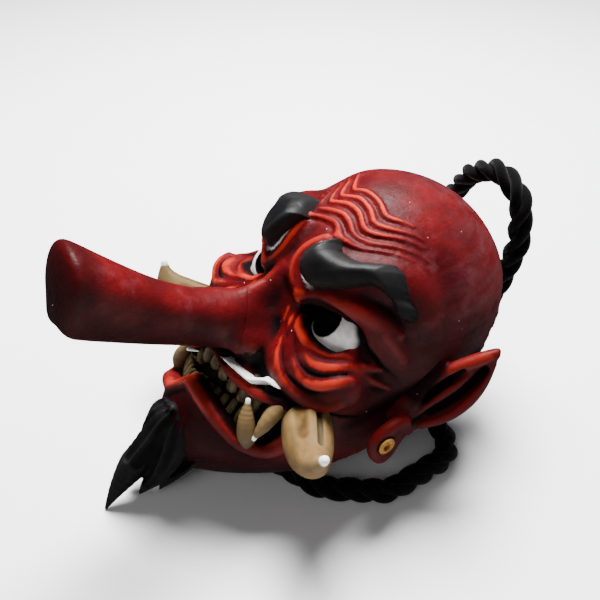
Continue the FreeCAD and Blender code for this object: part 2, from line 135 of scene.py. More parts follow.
class Clay:
    """A block of cells holding signed distances in millimetres, negative inside the clay."""

    def __init__(self, low, high, step):
        self.low = np.array(low, float)
        self.step = step
        self.count = np.ceil((np.array(high) - self.low) / step).astype(int) + 1
        self.d = np.full(self.count, FAR, np.float32)

    def window(self, low=None, high=None):
        """The cells of a box, and the x, y and z of each; the whole block without a box."""
        low = self.low if low is None else np.asarray(low, float)
        high = self.low + self.step * self.count if high is None else np.asarray(high, float)
        first = np.clip(np.floor((low - self.low) / self.step), 0, self.count).astype(int)
        last = np.clip(np.ceil((high - self.low) / self.step) + 1, 0, self.count).astype(int)
        cells = tuple(slice(a, b) for a, b in zip(first, last))
        axes = [self.low[i] + self.step * np.arange(first[i], last[i]) for i in range(3)]
        return cells, (axes[0][:, None, None], axes[1][None, :, None], axes[2][None, None, :])

    def mix(self, cells, shape, blend, carve):
        """Adds a shape given by its distances, or cuts it out."""
        shape = shape.astype(np.float32)
        if carve:
            self.d[cells] = smooth_max(self.d[cells], -shape, blend)
        else:
            self.d[cells] = smooth_min(self.d[cells], shape, blend)

    def ball(self, centre, radii, blend=1.0, carve=False, turn=0.0):
        """An ellipsoid, turned by some degrees about Y."""
        centre = np.array(centre, float)
        radii = np.array(radii, float) * np.ones(3)
        reach = radii.max() + blend + 1.5
        cells, (x, y, z) = self.window(centre - reach, centre + reach)
        c, s = math.cos(math.radians(turn)), math.sin(math.radians(turn))
        x, y, z = x - centre[0], y - centre[1], z - centre[2]
        u, w = c * x + s * z, -s * x + c * z
        k0 = np.sqrt((u / radii[0]) ** 2 + (y / radii[1]) ** 2 + (w / radii[2]) ** 2)
        k1 = np.sqrt((u / radii[0] ** 2) ** 2 + (y / radii[1] ** 2) ** 2 + (w / radii[2] ** 2) ** 2)
        self.mix(cells, k0 * (k0 - 1) / (k1 + 1e-6), blend, carve)

    def stroke(self, points, blend=1.0, carve=False):
        """A round tube through (x, y, z, radius) samples."""
        points = np.asarray(points, float)
        margin = points[:, 3].max() + blend + 1.5
        cells, _ = self.window(points[:, :3].min(0) - margin, points[:, :3].max(0) + margin)
        field = np.full(self.d[cells].shape, FAR, np.float32)
        start = [c.start for c in cells]
        for a, b in zip(points[:-1], points[1:]):
            low = np.minimum(a, b)[:3] - margin
            high = np.maximum(a, b)[:3] + margin
            part, (x, y, z) = self.window(low, high)
            local = tuple(slice(p.start - s, p.stop - s) for p, s in zip(part, start))
            e = b[:3] - a[:3]
            t = ((x - a[0]) * e[0] + (y - a[1]) * e[1] + (z - a[2]) * e[2]) / (e @ e + 1e-9)
            t = np.clip(t, 0, 1)
            d = np.sqrt((x - a[0] - t * e[0]) ** 2 + (y - a[1] - t * e[1]) ** 2
                        + (z - a[2] - t * e[2]) ** 2) - (a[3] + t * (b[3] - a[3]))
            field[local] = np.minimum(field[local], d)
        self.mix(cells, field, blend, carve)

    def front(self, x, z):
        """y of the foremost clay at each (x, z), looking from just before the face."""
        ix = np.clip(np.rint((x - self.low[0]) / self.step), 0, self.count[0] - 1).astype(int)
        iz = np.clip(np.rint((z - self.low[2]) / self.step), 0, self.count[2] - 1).astype(int)
        iy = int((FACE_FRONT - self.low[1]) / self.step)
        column = self.d[ix, iy:, iz]
        first = np.argmax(column < 0, axis=1)
        rows = np.arange(len(first))
        outside = column[rows, np.maximum(first - 1, 0)]
        inside = column[rows, first]
        part = np.clip(outside / (outside - inside + 1e-6), 0, 1)
        return self.low[1] + self.step * (iy + first - 1 + part)

    def draw(self, line, lift=0.0, blend=1.0, carve=False):
        """A tube along (x, z, radius) points laid on the clay's front; lift raises it."""
        samples = curve(line)
        y = softened(self.front(samples[:, 0], samples[:, 1]), 5)
        points = np.stack([samples[:, 0], y - lift, samples[:, 1], samples[:, 2]], 1)
        self.stroke(points, blend, carve)

    def like(self, distances):
        """Another block over the same cells, holding other distances."""
        twin = Clay(self.low, self.low, self.step)
        twin.d = distances.astype(np.float32)
        twin.count = np.array(distances.shape)
        return twin

    def mirrored(self):
        """The left half copied to the right. The block has to start at x <= 0."""
        zero = int(round(-self.low[0] / self.step))
        half = self.d[zero:]
        whole = self.like(np.concatenate([half[:0:-1], half]))
        whole.low[0] = -self.step * (len(half) - 1)
        return whole

    def blurred(self, radius):
        """The distances after a soft blur of about that many millimetres."""
        half = max(1, int(round(radius / self.step)))
        out = np.clip(self.d, -FAR / 2, FAR / 2).astype(np.float32)
        for axis in range(3):
            for _ in range(2):
                pad = [(half + 1, half) if i == axis else (0, 0) for i in range(3)]
                total = np.cumsum(np.pad(out, pad, mode="edge"), axis=axis, dtype=np.float64)
                size = out.shape[axis]
                upper = np.take(total, range(2 * half + 1, 2 * half + 1 + size), axis)
                lower = np.take(total, range(size), axis)
                out = ((upper - lower) / (2 * half + 1)).astype(np.float32)
        return out

    def sample(self, values, points):
        """Values of a cell block at points, between cells by straight mixing."""
        g = (np.asarray(points) - self.low) / self.step
        g = np.clip(g, 0, np.array(values.shape) - 1.001)
        i = g.astype(int)
        f = g - i
        out = 0
        for dx in (0, 1):
            for dy in (0, 1):
                for dz in (0, 1):
                    weight = (np.abs(1 - dx - f[:, 0]) * np.abs(1 - dy - f[:, 1])
                              * np.abs(1 - dz - f[:, 2]))
                    out = out + weight * values[i[:, 0] + dx, i[:, 1] + dy, i[:, 2] + dz]
        return out


# ---------------------------------------------------------------- meshes

def add_object(name, data):
    thing = bpy.data.objects.new(name, data)
    bpy.context.scene.collection.objects.link(thing)
    return thing


def mesh_object(name, points, faces):
    """A mesh through points in metres, in the part's frame."""
    mesh = bpy.data.meshes.new(name)
    mesh.from_pydata(points, [], faces)
    return add_object(name, mesh)


SHARP_EDGE = math.radians(62.0)


def mesh_from_clay(clay, name, triangles=None):
    """A closed mesh of the clay's skin, thinned to about that many triangles."""
    grid = openvdb.FloatGrid(FAR)
    grid.copyFromArray(np.ascontiguousarray(clay.d))
    points, tris, quads = grid.convertToPolygons(isovalue=0.0, adaptivity=0.0)
    points = points * clay.step + clay.low
    faces = [tuple(f) for f in quads.tolist()] + [tuple(f) for f in tris.tolist()]
    piece = mesh_object(name, to_table(points).tolist(), faces)
    piece.data.update()
    corner = np.array([f[:3] for f in faces[::7]])
    a, b, c = (points[corner[:, i]] for i in range(3))
    if np.einsum("ij,ij->i", a - points.mean(0), np.cross(b - a, c - a)).sum() < 0:
        piece.data.flip_normals()
    count = 2 * len(quads) + len(tris)
    if triangles and count > triangles:
        thin = piece.modifiers.new("thin", "DECIMATE")
        thin.ratio = triangles / count
        apply_modifiers(piece)
    piece.data.shade_smooth()
    piece.data.set_sharp_from_angle(angle=SHARP_EDGE)
    return piece


def apply_modifiers(piece):
    """Puts the modified mesh in the place of the old one."""
    graph = bpy.context.evaluated_depsgraph_get()
    graph.update()
    mesh = bpy.data.meshes.new_from_object(piece.evaluated_get(graph))
    piece.modifiers.clear()
    old = piece.data
    piece.data = mesh
    bpy.data.meshes.remove(old)
    mesh.name = piece.name


def vertices(piece):
    co = np.empty(len(piece.data.vertices) * 3)
    piece.data.vertices.foreach_get("co", co)
    return co.reshape(-1, 3)


def paint(piece, name, values):
    """A named value per vertex, which the materials read."""
    layer = piece.data.attributes.new(name, "FLOAT", "POINT")
    layer.data.foreach_set("value", np.asarray(values, np.float32))


RIDGE_HEIGHT = 0.30         # blurred distance that counts as a full ridge or cavity
HOLLOW_DEPTH = 0.9


def paint_relief(piece, clay, narrow=None, wide=None, depth=1.0):
    """Ridge, cavity and hollow values, from how far the skin stands off the blurred clay."""
    points = to_mask(vertices(piece))
    narrow = clay.blurred(1.2) if narrow is None else narrow
    wide = clay.blurred(3.2) if wide is None else wide
    fine = clay.sample(narrow, points)
    broad = clay.sample(wide, points)
    paint(piece, "ridge", np.clip(fine / RIDGE_HEIGHT, 0, 1))
    paint(piece, "cavity", np.clip(-fine / RIDGE_HEIGHT, 0, 1) * depth)
    paint(piece, "hollow", np.clip(-broad / HOLLOW_DEPTH, 0, 1) * depth)
    paint(piece, "swell", np.clip(broad / HOLLOW_DEPTH, 0, 1))
    return points


def join_frame(piece, material, nodes, body="mask"):
    """Gives a piece its material and ties it to the frame in the place of some nodes."""
    piece.data.materials.clear()
    piece.data.materials.append(material)
    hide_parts(*nodes)
    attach(piece, body)
    return piece


# ---------------------------------------------------------------- materials

class Nodes:
    """A short way to wire a procedural material."""

    def __init__(self, name):
        self.material = bpy.data.materials.new(name)
        self.material.use_nodes = True
        self.tree = self.material.node_tree
        self.shader = self.tree.nodes["Principled BSDF"]
        self.place = self.add("ShaderNodeTexCoord").outputs["Object"]

    def add(self, kind, **settings):
        node = self.tree.nodes.new(kind)
        for key, value in settings.items():
            setattr(node, key, value)
        return node

    def put(self, socket, value):
        if isinstance(value, bpy.types.NodeSocket):
            self.tree.links.new(value, socket)
        elif isinstance(value, tuple) and len(value) == 3:
            socket.default_value = (*value, 1.0) if socket.type == "RGBA" else value
        else:
            socket.default_value = value

    def value(self, name):
        return self.add("ShaderNodeAttribute", attribute_name=name).outputs["Fac"]

    def maths(self, operation, a, b=0.0, clamp=False):
        node = self.add("ShaderNodeMath", operation=operation, use_clamp=clamp)
        self.put(node.inputs[0], a)
        self.put(node.inputs[1], b)
        return node.outputs[0]

    def times(self, a, b, clamp=False):
        return self.maths("MULTIPLY", a, b, clamp)

    def plus(self, a, b):
        return self.maths("ADD", a, b)

    def minus(self, a, b):
        return self.maths("SUBTRACT", a, b)

    def noise(self, scale, detail=4.0, rough=0.55, stretch=None):
        node = self.add("ShaderNodeTexNoise")
        self.put(node.inputs["Scale"], scale)
        self.put(node.inputs["Detail"], detail)
        self.put(node.inputs["Roughness"], rough)
        self.put(node.inputs["Vector"], self.stretched(stretch))
        return node.outputs["Fac"]

    def stretched(self, stretch):
        if stretch is None:
            return self.place
        node = self.add("ShaderNodeMapping")
        self.put(node.inputs["Vector"], self.place)
        node.inputs["Scale"].default_value = stretch
        return node.outputs[0]

    def cells(self, scale):
        node = self.add("ShaderNodeTexVoronoi")
        self.put(node.inputs["Scale"], scale)
        self.put(node.inputs["Vector"], self.place)
        return node.outputs["Distance"]

    def ramp(self, value, low, high):
        """0 below low, 1 above high; low may be the larger."""
        node = self.add("ShaderNodeMapRange", interpolation_type="SMOOTHSTEP")
        self.put(node.inputs["Value"], value)
        self.put(node.inputs["From Min"], min(low, high))
        self.put(node.inputs["From Max"], max(low, high))
        self.put(node.inputs["To Min"], 0.0 if low < high else 1.0)
        self.put(node.inputs["To Max"], 1.0 if low < high else 0.0)
        return node.outputs[0]

    def mix(self, factor, a, b):
        node = self.add("ShaderNodeMix", data_type="RGBA", blend_type="MIX")
        self.put(node.inputs["Factor"], factor)
        self.put(node.inputs["A"], a)
        self.put(node.inputs["B"], b)
        return node.outputs["Result"]

    def layer(self, colour, cover, paint, share=1.0):
        """Paint over a colour where cover is 1, and there to that share."""
        if share != 1.0:
            cover = self.times(cover, share)
        return self.mix(cover, colour, paint)

    def finish(self, colour, rough, bump=None, bump_mm=0.1, **inputs):
        self.put(self.shader.inputs["Base Color"], colour)
        self.put(self.shader.inputs["Roughness"], rough)
        for key, value in inputs.items():
            self.put(self.shader.inputs[key.replace("_", " ")], value)
        if bump is not None:
            node = self.add("ShaderNodeBump")
            self.put(node.inputs["Height"], bump)
            node.inputs["Distance"].default_value = bump_mm * MM
            self.put(self.shader.inputs["Normal"], node.outputs[0])
        return self.material


CRIMSON = (0.086, 0.0026, 0.0036)
BRIGHT_RED = (0.20, 0.0065, 0.0065)
DEEP_RED = (0.034, 0.0012, 0.0022)
BLACK_RED = (0.0085, 0.0008, 0.0012)
SHADE_RED = (0.014, 0.0008, 0.0012)
ORANGE_RED = (0.38, 0.019, 0.009)
# Near black for the black paint, the wash, the pits and painted shade
BLACK_WASH_AND_SHADE = (0.0022, 0.0016, 0.0018)
# Greyish dust colour, also laid on as painted sheen over the back of the head
DUST_AND_SHEEN = (0.105, 0.030, 0.036)
PALE_SPECK = (0.62, 0.52, 0.50)
WHITE_PAINT = (0.74, 0.72, 0.70)


def red_paint():
    """Satin crimson, black wash and painted shade in the recesses, dry-brushed orange on the ridges, dust
    and painted sheen on top.
    """
    m = Nodes("red_paint")
    patch = m.noise(45.0, 3.0)
    fine = m.noise(420.0, 5.0, 0.6)
    streak = m.noise(160.0, 4.0, 0.6, (1.0, 0.35, 2.2))
    stain = m.noise(105.0, 7.0, 0.62)
    grain = m.minus(fine, 0.5)
    dry = m.ramp(m.plus(m.value("ridge"), m.times(grain, 0.7)), 0.34, 0.98)
    # Black wash and painted shade in the fine recesses
    wash_and_shade = m.ramp(m.plus(m.value("cavity"), m.times(grain, 0.3)), 0.30, 0.95)
    # Dust and painted sheen in streaks over the back of the head
    film = m.times(m.value("dust"), m.ramp(streak, 0.30, 0.72))
    shade = m.times(m.value("shade"), m.plus(patch, 0.38), True)
    speck = m.times(m.ramp(m.cells(330.0), 0.075, 0.045), m.ramp(m.noise(140.0, 2.0), 0.60, 0.66))
    pit = m.times(m.ramp(m.cells(210.0), 0.070, 0.050), m.ramp(m.noise(90.0, 2.0), 0.56, 0.62))
    colour = m.mix(m.ramp(patch, 0.35, 0.68), DEEP_RED, CRIMSON)
    # The hollow layer is wash and painted shade in the broad hollows, the film is dust and painted sheen,
    # the shade layer is painted shade, and the black layer is black paint and painted shadow
    for cover, paint, share in (
            (m.ramp(streak, 0.42, 0.70), DEEP_RED, 0.55), (m.ramp(stain, 0.50, 0.66), DEEP_RED, 0.6),
            (m.ramp(stain, 0.46, 0.34), DUST_AND_SHEEN, 0.22), (m.value("swell"), BRIGHT_RED, 0.22),
            (m.ramp(m.value("hollow"), 0.05, 0.8), BLACK_RED, 0.92),
            (m.times(dry, m.value("fold")), ORANGE_RED, 0.9), (wash_and_shade, BLACK_WASH_AND_SHADE, 1.0),
            (film, DUST_AND_SHEEN, 0.38), (shade, SHADE_RED, 1.0), (m.value("soot"), BLACK_WASH_AND_SHADE, 0.97),
            (m.value("white_line"), WHITE_PAINT, 1.0), (speck, PALE_SPECK, 1.0),
            (pit, BLACK_WASH_AND_SHADE, 1.0)):
        colour = m.layer(colour, cover, paint, share)
    rough = m.plus(m.times(m.noise(260.0, 4.0), 0.24), 0.34)
    rough = m.plus(rough, m.times(m.value("dust"), 0.10))
    height = m.plus(fine, m.times(streak, 0.8))
    height = m.plus(m.minus(height, m.times(pit, 2.5)), m.times(speck, 1.5))
    shine = m.minus(0.26, m.times(m.value("soot"), 0.20))
    return m.finish(colour, rough, height, 0.22, Specular_IOR_Level=shine)


def black_paint():
    """Satin black hair, greyer where the light catches the raised strands."""
    m = Nodes("black_paint")
    fine = m.noise(600.0, 4.0, 0.6, (1.0, 0.5, 0.5))
    patch = m.ramp(m.noise(120.0, 3.0), 0.35, 0.75)
    colour = m.mix(patch, (0.0018, 0.0018, 0.0020), (0.0058, 0.0056, 0.0060))
    raised = m.ramp(m.plus(m.value("ridge"), m.value("swell")), 0.4, 1.6)
    colour = m.layer(colour, raised, (0.020, 0.019, 0.020), 0.3)
    rough = m.plus(m.times(fine, 0.25), 0.36)
    return m.finish(colour, rough, fine, 0.10, Specular_IOR_Level=0.42)


def white_paint():
    """Off-white enamel with a grey wash and painted shade in its dips."""
    m = Nodes("white_enamel")
    fine = m.noise(500.0, 4.0)
    colour = m.mix(m.ramp(fine, 0.3, 0.8), (0.60, 0.57, 0.55), (0.80, 0.78, 0.76))
    colour = m.layer(colour, m.ramp(m.value("cavity"), 0.2, 0.9), (0.16, 0.11, 0.10))
    colour = m.layer(colour, m.value("soot"), BLACK_WASH_AND_SHADE)
    return m.finish(colour, m.plus(m.times(fine, 0.2), 0.32), fine, 0.06)


def tooth_paint():
    """Olive ivory, brown-black painted shade between the teeth."""
    m = Nodes("tooth_ivory")
    fine = m.noise(700.0, 4.0, 0.6, (1.0, 1.0, 0.3))
    colour = m.mix(m.ramp(fine, 0.3, 0.75), (0.052, 0.036, 0.015), (0.165, 0.122, 0.055))
    colour = m.layer(colour, m.ramp(m.value("cavity"), 0.10, 0.60), (0.012, 0.008, 0.004))
    colour = m.layer(colour, m.value("soot"), BLACK_WASH_AND_SHADE, 0.9)
    return m.finish(colour, 0.45, fine, 0.08, Specular_IOR_Level=0.35)


def horn_paint():
    """Aged ochre horn with brown streaks along its length and a white tip."""
    m = Nodes("horn_ochre")
    streak = m.noise(330.0, 5.0, 0.65, (0.5, 0.5, 1.6))
    patch = m.noise(110.0, 3.0)
    colour = m.mix(m.ramp(patch, 0.35, 0.65), (0.062, 0.033, 0.010), (0.145, 0.082, 0.028))
    # The dips darken as painted shade; the black layer is painted shade in the groove, on the fangs and on
    # the right twins, and black towards the root
    for cover, paint, share in (
            (m.ramp(streak, 0.46, 0.68), (0.040, 0.023, 0.008), 0.75),
            (m.value("ridge"), (0.31, 0.195, 0.080), 0.45),
            (m.ramp(m.value("cavity"), 0.15, 0.8), (0.055, 0.042, 0.022), 1.0),
            (m.value("soot"), (0.05, 0.036, 0.018), 0.85),
            (m.value("white_line"), (0.84, 0.83, 0.80), 1.0)):
        colour = m.layer(colour, cover, paint, share)
    rough = m.plus(m.times(streak, 0.25), 0.36)
    return m.finish(colour, rough, streak, 0.20, Specular_IOR_Level=0.28)


def brass():
    m = Nodes("eyelet_brass")
    fine = m.noise(900.0, 3.0)
    colour = m.mix(m.ramp(fine, 0.35, 0.7), (0.36, 0.15, 0.03), (0.66, 0.34, 0.09))
    return m.finish(colour, m.plus(m.times(fine, 0.2), 0.22), fine, 0.03, Metallic=0.5)


def pin_steel():
    m = Nodes("pin_steel")
    fine = m.noise(800.0, 3.0, 0.5, (8.0, 1.0, 1.0))
    colour = m.mix(fine, (0.35, 0.35, 0.36), (0.62, 0.62, 0.63))
    return m.finish(colour, m.plus(m.times(fine, 0.2), 0.3), fine, 0.02, Metallic=1.0)


def cord_velvet():
    """Black pile cord: hardly any shine, only a faint grey sheen at grazing angles."""
    m = Nodes("cord_velvet")
    pile = m.noise(1500.0, 3.0, 0.7)
    soft = m.noise(220.0, 3.0)
    colour = m.mix(m.ramp(soft, 0.3, 0.7), (0.0012, 0.0012, 0.0014), (0.0034, 0.0032, 0.0035))
    return m.finish(colour, 0.85, pile, 0.35, Sheen_Weight=0.06, Sheen_Roughness=0.4,
                    Specular_IOR_Level=0.15)


MATERIALS = {
    "red": red_paint(), "black": black_paint(), "white": white_paint(), "tooth": tooth_paint(),
    "horn": horn_paint(), "brass": brass(), "steel": pin_steel(), "cord": cord_velvet(),
}


# ---------------------------------------------------------------- the head

STEP = 0.6
JAW_FINE = curve(JAW, 0.5)
# The brow's middle line: x, z, radius
BROW = [(10.6, 12.6, 6.0), (15.5, 12.8, 5.1), (20.5, 16.4, 3.9), (26.0, 20.4, 3.4), (31.0, 19.8, 3.0),
        (34.6, 16.4, 2.0), (37.0, 15.2, 1.4)]
# The nose's middle line: y, z, radius
NOSE = [(8.0, -13.0, 11.5), (-5.0, -14.5, 9.6), (-13.0, -16.5, 8.4), (-25.0, -18.6, 8.1),
        (-38.0, -20.0, 8.7), (-50.0, -20.2, 9.9), (-59.0, -20.0, 10.9), (-66.0, -19.2, 11.1),
        (-72.0, -18.8, 10.8)]
NOSE_TIP = -68.3
NOSE_SEAM = -12.6
# Outlines of the left eye and of the mouth: x, z
EYE = [(15.4, -0.2), (17.2, 2.0), (20.4, 3.4), (24.0, 3.8), (26.8, 2.6), (28.6, 0.2), (29.4, -3.2),
       (28.4, -5.2), (25.6, -5.8), (22.0, -5.6), (18.4, -4.2), (16.2, -2.2)]
PUPIL = (19.8, 0.5, 5.2)    # x, z and radius
MOUTH_LEFT = [(0.0, -28.0), (8.0, -29.6), (15.0, -30.2), (21.5, -30.0), (25.5, -28.4), (28.6, -29.4),
              (29.2, -35.4), (27.4, -41.0), (23.5, -42.2), (17.5, -39.4), (11.0, -37.2), (4.0, -36.2),
              (0.0, -36.0)]
MOUTH = MOUTH_LEFT + [(-x, z) for x, z in reversed(MOUTH_LEFT) if x > 0]
# y and z of the cord sockets, and the |x| of their blind ends
HANG_SOCKET = (34.0, -3.0)
TIE_SOCKET = (25.0, -24.0)
HANG_DEEP = 39.5
TIE_DEEP = 35.5


def drift(x, y, z):
    """How much nearer the middle the right side of the face lies than the left."""
    upper = ease(z, -14.0, -4.0) * (1 - ease(z, 30.0, 46.0))
    upper = upper * ease(y, -20.0, -13.0) * (1 - ease(y, 12.0, 34.0))
    lower = ease(-z, 31.0, 37.0) * (1 - ease(-z, 56.0, 68.0)) * ease(y, -30.0, -22.0)
    return (6.0 * upper + 5.0 * lower) * ease(-x, -4.0, 10.0) * (1 - ease(-x, 24.0, 42.0))


def sag(x, z):
    """How far the right side of the lower lip hangs lower than the left."""
    return 6.4 * ease(-x, -2.0, 10.0) * ease(-z, 24.0, 39.0) * (1 - ease(-z, 52.0, 68.0))


def jaw_columns(z):
    return [np.interp(z, JAW_FINE[:, 0], JAW_FINE[:, i]) for i in range(1, 6)]


def head_distance(x, y, z):
    """Roughly the distance to the bare head: an ellipsoid above, level sections below."""
    u = x / CRANIUM[0]
    v = (y - CRANIUM_CENTRE[1]) / CRANIUM[1]
    w = (z - CRANIUM_CENTRE[2]) / CRANIUM[2]
    k0 = np.sqrt(u * u + v * v + w * w)
    k1 = np.sqrt((u / CRANIUM[0]) ** 2 + (v / CRANIUM[1]) ** 2 + (w / CRANIUM[2]) ** 2)
    dome = k0 * (k0 - 1) / (k1 + 1e-6)
    middle, half, front, back, square = jaw_columns(np.minimum(z, -8.0))
    half = np.maximum(half, 0.6)
    reach = np.maximum(np.where(y < middle, middle - front, back), 0.6)
    a = np.abs(x) / half + 1e-6
    b = np.abs(y - middle) / reach + 1e-6
    k = (a ** square + b ** square) ** (1 / square)
    slope = np.sqrt((a ** (square - 1) / half) ** 2 + (b ** (square - 1) / reach) ** 2)
    jaw = (k - 1) * k ** (square - 1) / slope
    lower = ease(-z, 6.0, 11.0)
    jaw = np.where(z < JAW[0, 0], np.maximum(jaw, JAW[0, 0] - z), jaw)
    return np.clip(dome * (1 - lower) + jaw * lower, -FAR, FAR)


def rim_distance(y, z):
    """Positive behind the trimmed rim."""
    wander = 0.5 * np.sin(z * 0.55) + 0.3 * np.sin(z * 1.7 + 1.0)
    return (y - np.interp(z, RIM[:, 0], RIM[:, 1]) - wander) * 0.88


def add_nose(clay):
    """The long nose, its bridge between the brows, and the left wing with its nostril."""
    cells, (x, y, z) = clay.window((-20, -74, -42), (20, 14, 12))
    # curve() spaces its samples by the first two columns, here radius and z
    y_line, z_line, radius = curve([p[::-1] for p in NOSE], 0.5)[:, ::-1].T
    order = np.argsort(y_line)
    centre = np.interp(y, y_line[order], z_line[order])
    size = np.interp(y, y_line[order], radius[order])
    square = 2.4
    k = (np.abs(x / size) ** square + np.abs((z - centre) / size) ** square) ** (1 / square)
    tube = (k - 1) * size * 0.95
    # The end is cut off nearly square, its top the foremost, with a soft edge
    end = (NOSE_TIP - 0.24 * (z + 19.0) + 0.018 * (x * x + (z + 16.0) ** 2)) - y
    nose = smooth_max(tube, end * 0.95, 2.4)
    clay.mix(cells, nose, 3.5, False)
    clay.stroke([(0, -20, -16.5, 6.6), (0, -12, -10.5, 5.0), (0, -5.6, -2.5, 3.6), (0, -1.5, 6.0, 3.0),
                 (0, 0.5, 13.0, 2.6)], 4.0)
    clay.ball((7.0, -6.5, -18.4), (5.6, 8.0, 5.2), 4.0)
    clay.stroke([(6.3, -14, -27, 2.6), (6.8, -8, -21.5, 2.3), (7.0, -4, -18.0, 1.8)], 1.2, True)


def fold(clay, line, proud=0.5, blend=1.4):
    """A half-sunk ridge along (x, z, radius) points; proud is the share of the radius that shows."""
    samples = curve(line)
    y = softened(clay.front(samples[:, 0], samples[:, 1]), 7)
    sunk = samples[:, 2] * (1 - proud)
    clay.stroke(np.stack([samples[:, 0], y + sunk, samples[:, 1], samples[:, 2]], 1), blend)


def crease(clay, line, blend=0.7):
    """A thin cut along (x, z, radius) points."""
    clay.draw(line, 0.15, blend, True)


def add_features(clay):
    """The left half of the face, which is mirrored later."""
    add_bulges(clay)
    add_eye_bags(clay)
    add_lids(clay)
    add_mouth(clay)


def add_bulges(clay):
    """The bulge that carries the brow, the eye socket, the full cheek and the fold under it."""
    clay.draw([(x, z, r + 3.0) for x, z, r in BROW[:-1]], -4.8, 5.0)
    clay.ball((22.0, 0.5, -2.0), (9.5, 5.6, 5.8), 4.0, True, -12)
    clay.ball((27.0, 9.0, -13.0), (13.0, 9.0, 9.0), 6.0)
    clay.draw([(12.0, -16.0, 1.4), (13.2, -20.0, 2.2), (18.0, -23.4, 2.2), (24.0, -25.0, 1.7),
               (30.0, -25.2, 1.3), (35.0, -23.6, 0.9)], 0.2, 2.4, True)


def add_eye_bags(clay):
    """Three crescent bags under the eye, parted by creases, and small folds beside the nose."""
    fold(clay, [(13.6, -3.5, 1.2), (14.6, -10.0, 2.5), (17.8, -16.6, 3.0), (24.0, -20.6, 3.0),
                (30.5, -21.0, 2.7), (35.4, -19.0, 1.7), (38.6, -16.4, 0.6)], 0.48, 2.4)
    fold(clay, [(14.4, -2.0, 1.0), (16.8, -8.0, 2.0), (21.0, -13.2, 2.5), (26.8, -16.2, 2.5),
                (32.0, -14.6, 1.9), (35.4, -11.4, 1.2), (37.6, -8.4, 0.5)], 0.50, 1.8)
    fold(clay, [(16.0, -3.6, 0.8), (20.0, -8.4, 1.7), (25.2, -11.0, 2.0), (30.4, -9.8, 1.7),
                (34.4, -5.8, 1.1), (37.0, -2.4, 0.6)], 0.55, 1.4)
    crease(clay, [(14.8, -5.4, 0.3), (15.8, -9.4, 0.5), (18.6, -14.0, 0.6), (23.5, -18.0, 0.6),
                  (29.5, -18.6, 0.6), (34.0, -16.2, 0.5), (37.0, -13.2, 0.3)])
    crease(clay, [(15.8, -4.4, 0.3), (18.2, -8.6, 0.5), (22.2, -12.2, 0.5), (27.5, -13.6, 0.5),
                  (32.4, -11.4, 0.5), (36.4, -6.4, 0.3)])
    for x, z in ((11.4, -6.4), (13.2, -4.8), (15.0, -2.8)):
        fold(clay, [(x - 0.8, z + 3.4, 0.4), (x, z, 0.9), (x + 1.6, z - 3.4, 0.4)], 0.6, 0.8)


def add_lids(clay):
    """The rims and folds around the eye and the brow, and the cheek crease towards the ear."""
    # Thick rim that wraps the brow's inner end and runs on under it
    fold(clay, [(12.6, 22.2, 0.8), (9.0, 21.4, 1.2), (6.2, 17.0, 1.5), (4.9, 11.4, 2.0), (6.6, 6.4, 2.6),
                (12.0, 4.0, 2.8), (18.2, 5.6, 2.6), (24.4, 8.2, 2.3), (30.0, 9.8, 1.9),
                (36.0, 8.6, 1.0)], 0.55, 1.6)
    # Broad lid fold that sweeps back past the outer corner, and the thin lids
    fold(clay, [(12.6, 2.4, 1.4), (18.0, 6.2, 2.4), (24.4, 8.2, 2.8), (30.4, 7.8, 2.7), (35.0, 5.2, 1.9),
                (38.8, 2.4, 0.7)], 0.38, 2.8)
    crease(clay, [(14.4, 1.0, 0.4), (18.6, 4.0, 0.6), (24.0, 5.2, 0.7), (28.8, 3.8, 0.8), (32.6, 0.6, 0.8),
                  (36.6, -2.0, 0.7), (41.0, -3.8, 0.4)])
    fold(clay, [(14.6, -2.6, 0.6), (16.8, -6.0, 1.0), (21.6, -7.8, 1.3), (27.2, -7.2, 1.3),
                (31.4, -4.8, 1.0), (35.0, -3.6, 0.5)], 0.7, 0.8)
    fold(clay, [(34.0, -6.0, 0.5), (37.0, -7.2, 0.9), (39.4, -7.4, 0.4)], 0.4, 1.6)
    crease(clay, [(33.0, -23.0, 0.5), (36.4, -21.4, 0.7), (38.8, -18.8, 0.4)])


def add_mouth(clay):
    """The chin, both lips and the opening behind them."""
    clay.ball((0.0, -7.0, -56.0), (9.5, 7.0, 7.5), 5.0)
    fold(clay, [(-1.5, -26.4, 2.2), (8.0, -28.0, 2.3), (15.0, -28.6, 2.2), (21.5, -28.4, 2.0),
                (26.0, -26.8, 1.8), (31.0, -28.0, 1.4)], 0.6, 2.0)
    clay.draw([(-1.5, -39.0, 2.4), (6.0, -39.6, 2.6), (12.0, -40.6, 2.7), (18.4, -42.2, 2.6),
               (24.0, -44.0, 2.3), (28.4, -42.6, 2.1), (31.0, -37.6, 1.8)], -0.2, 2.2)
    cells, (x, y, z) = clay.window((-4, -30, -50), (34, 16, -22))
    prism = np.maximum(polygon_distance(x, z, MOUTH), y - 15.0)
    clay.mix(cells, prism, 1.4, True)


def open_eyes(clay):
    """Cuts both eye openings through the skin."""
    for side in (1, -1):
        cells, (x, y, z) = clay.window((side * 22 - 11, -30, -10), (side * 22 + 11, 20, 9))
        prism = np.maximum(polygon_distance(side * x, z, EYE), y - 19.0)
        clay.mix(cells, prism, 0.9, True)


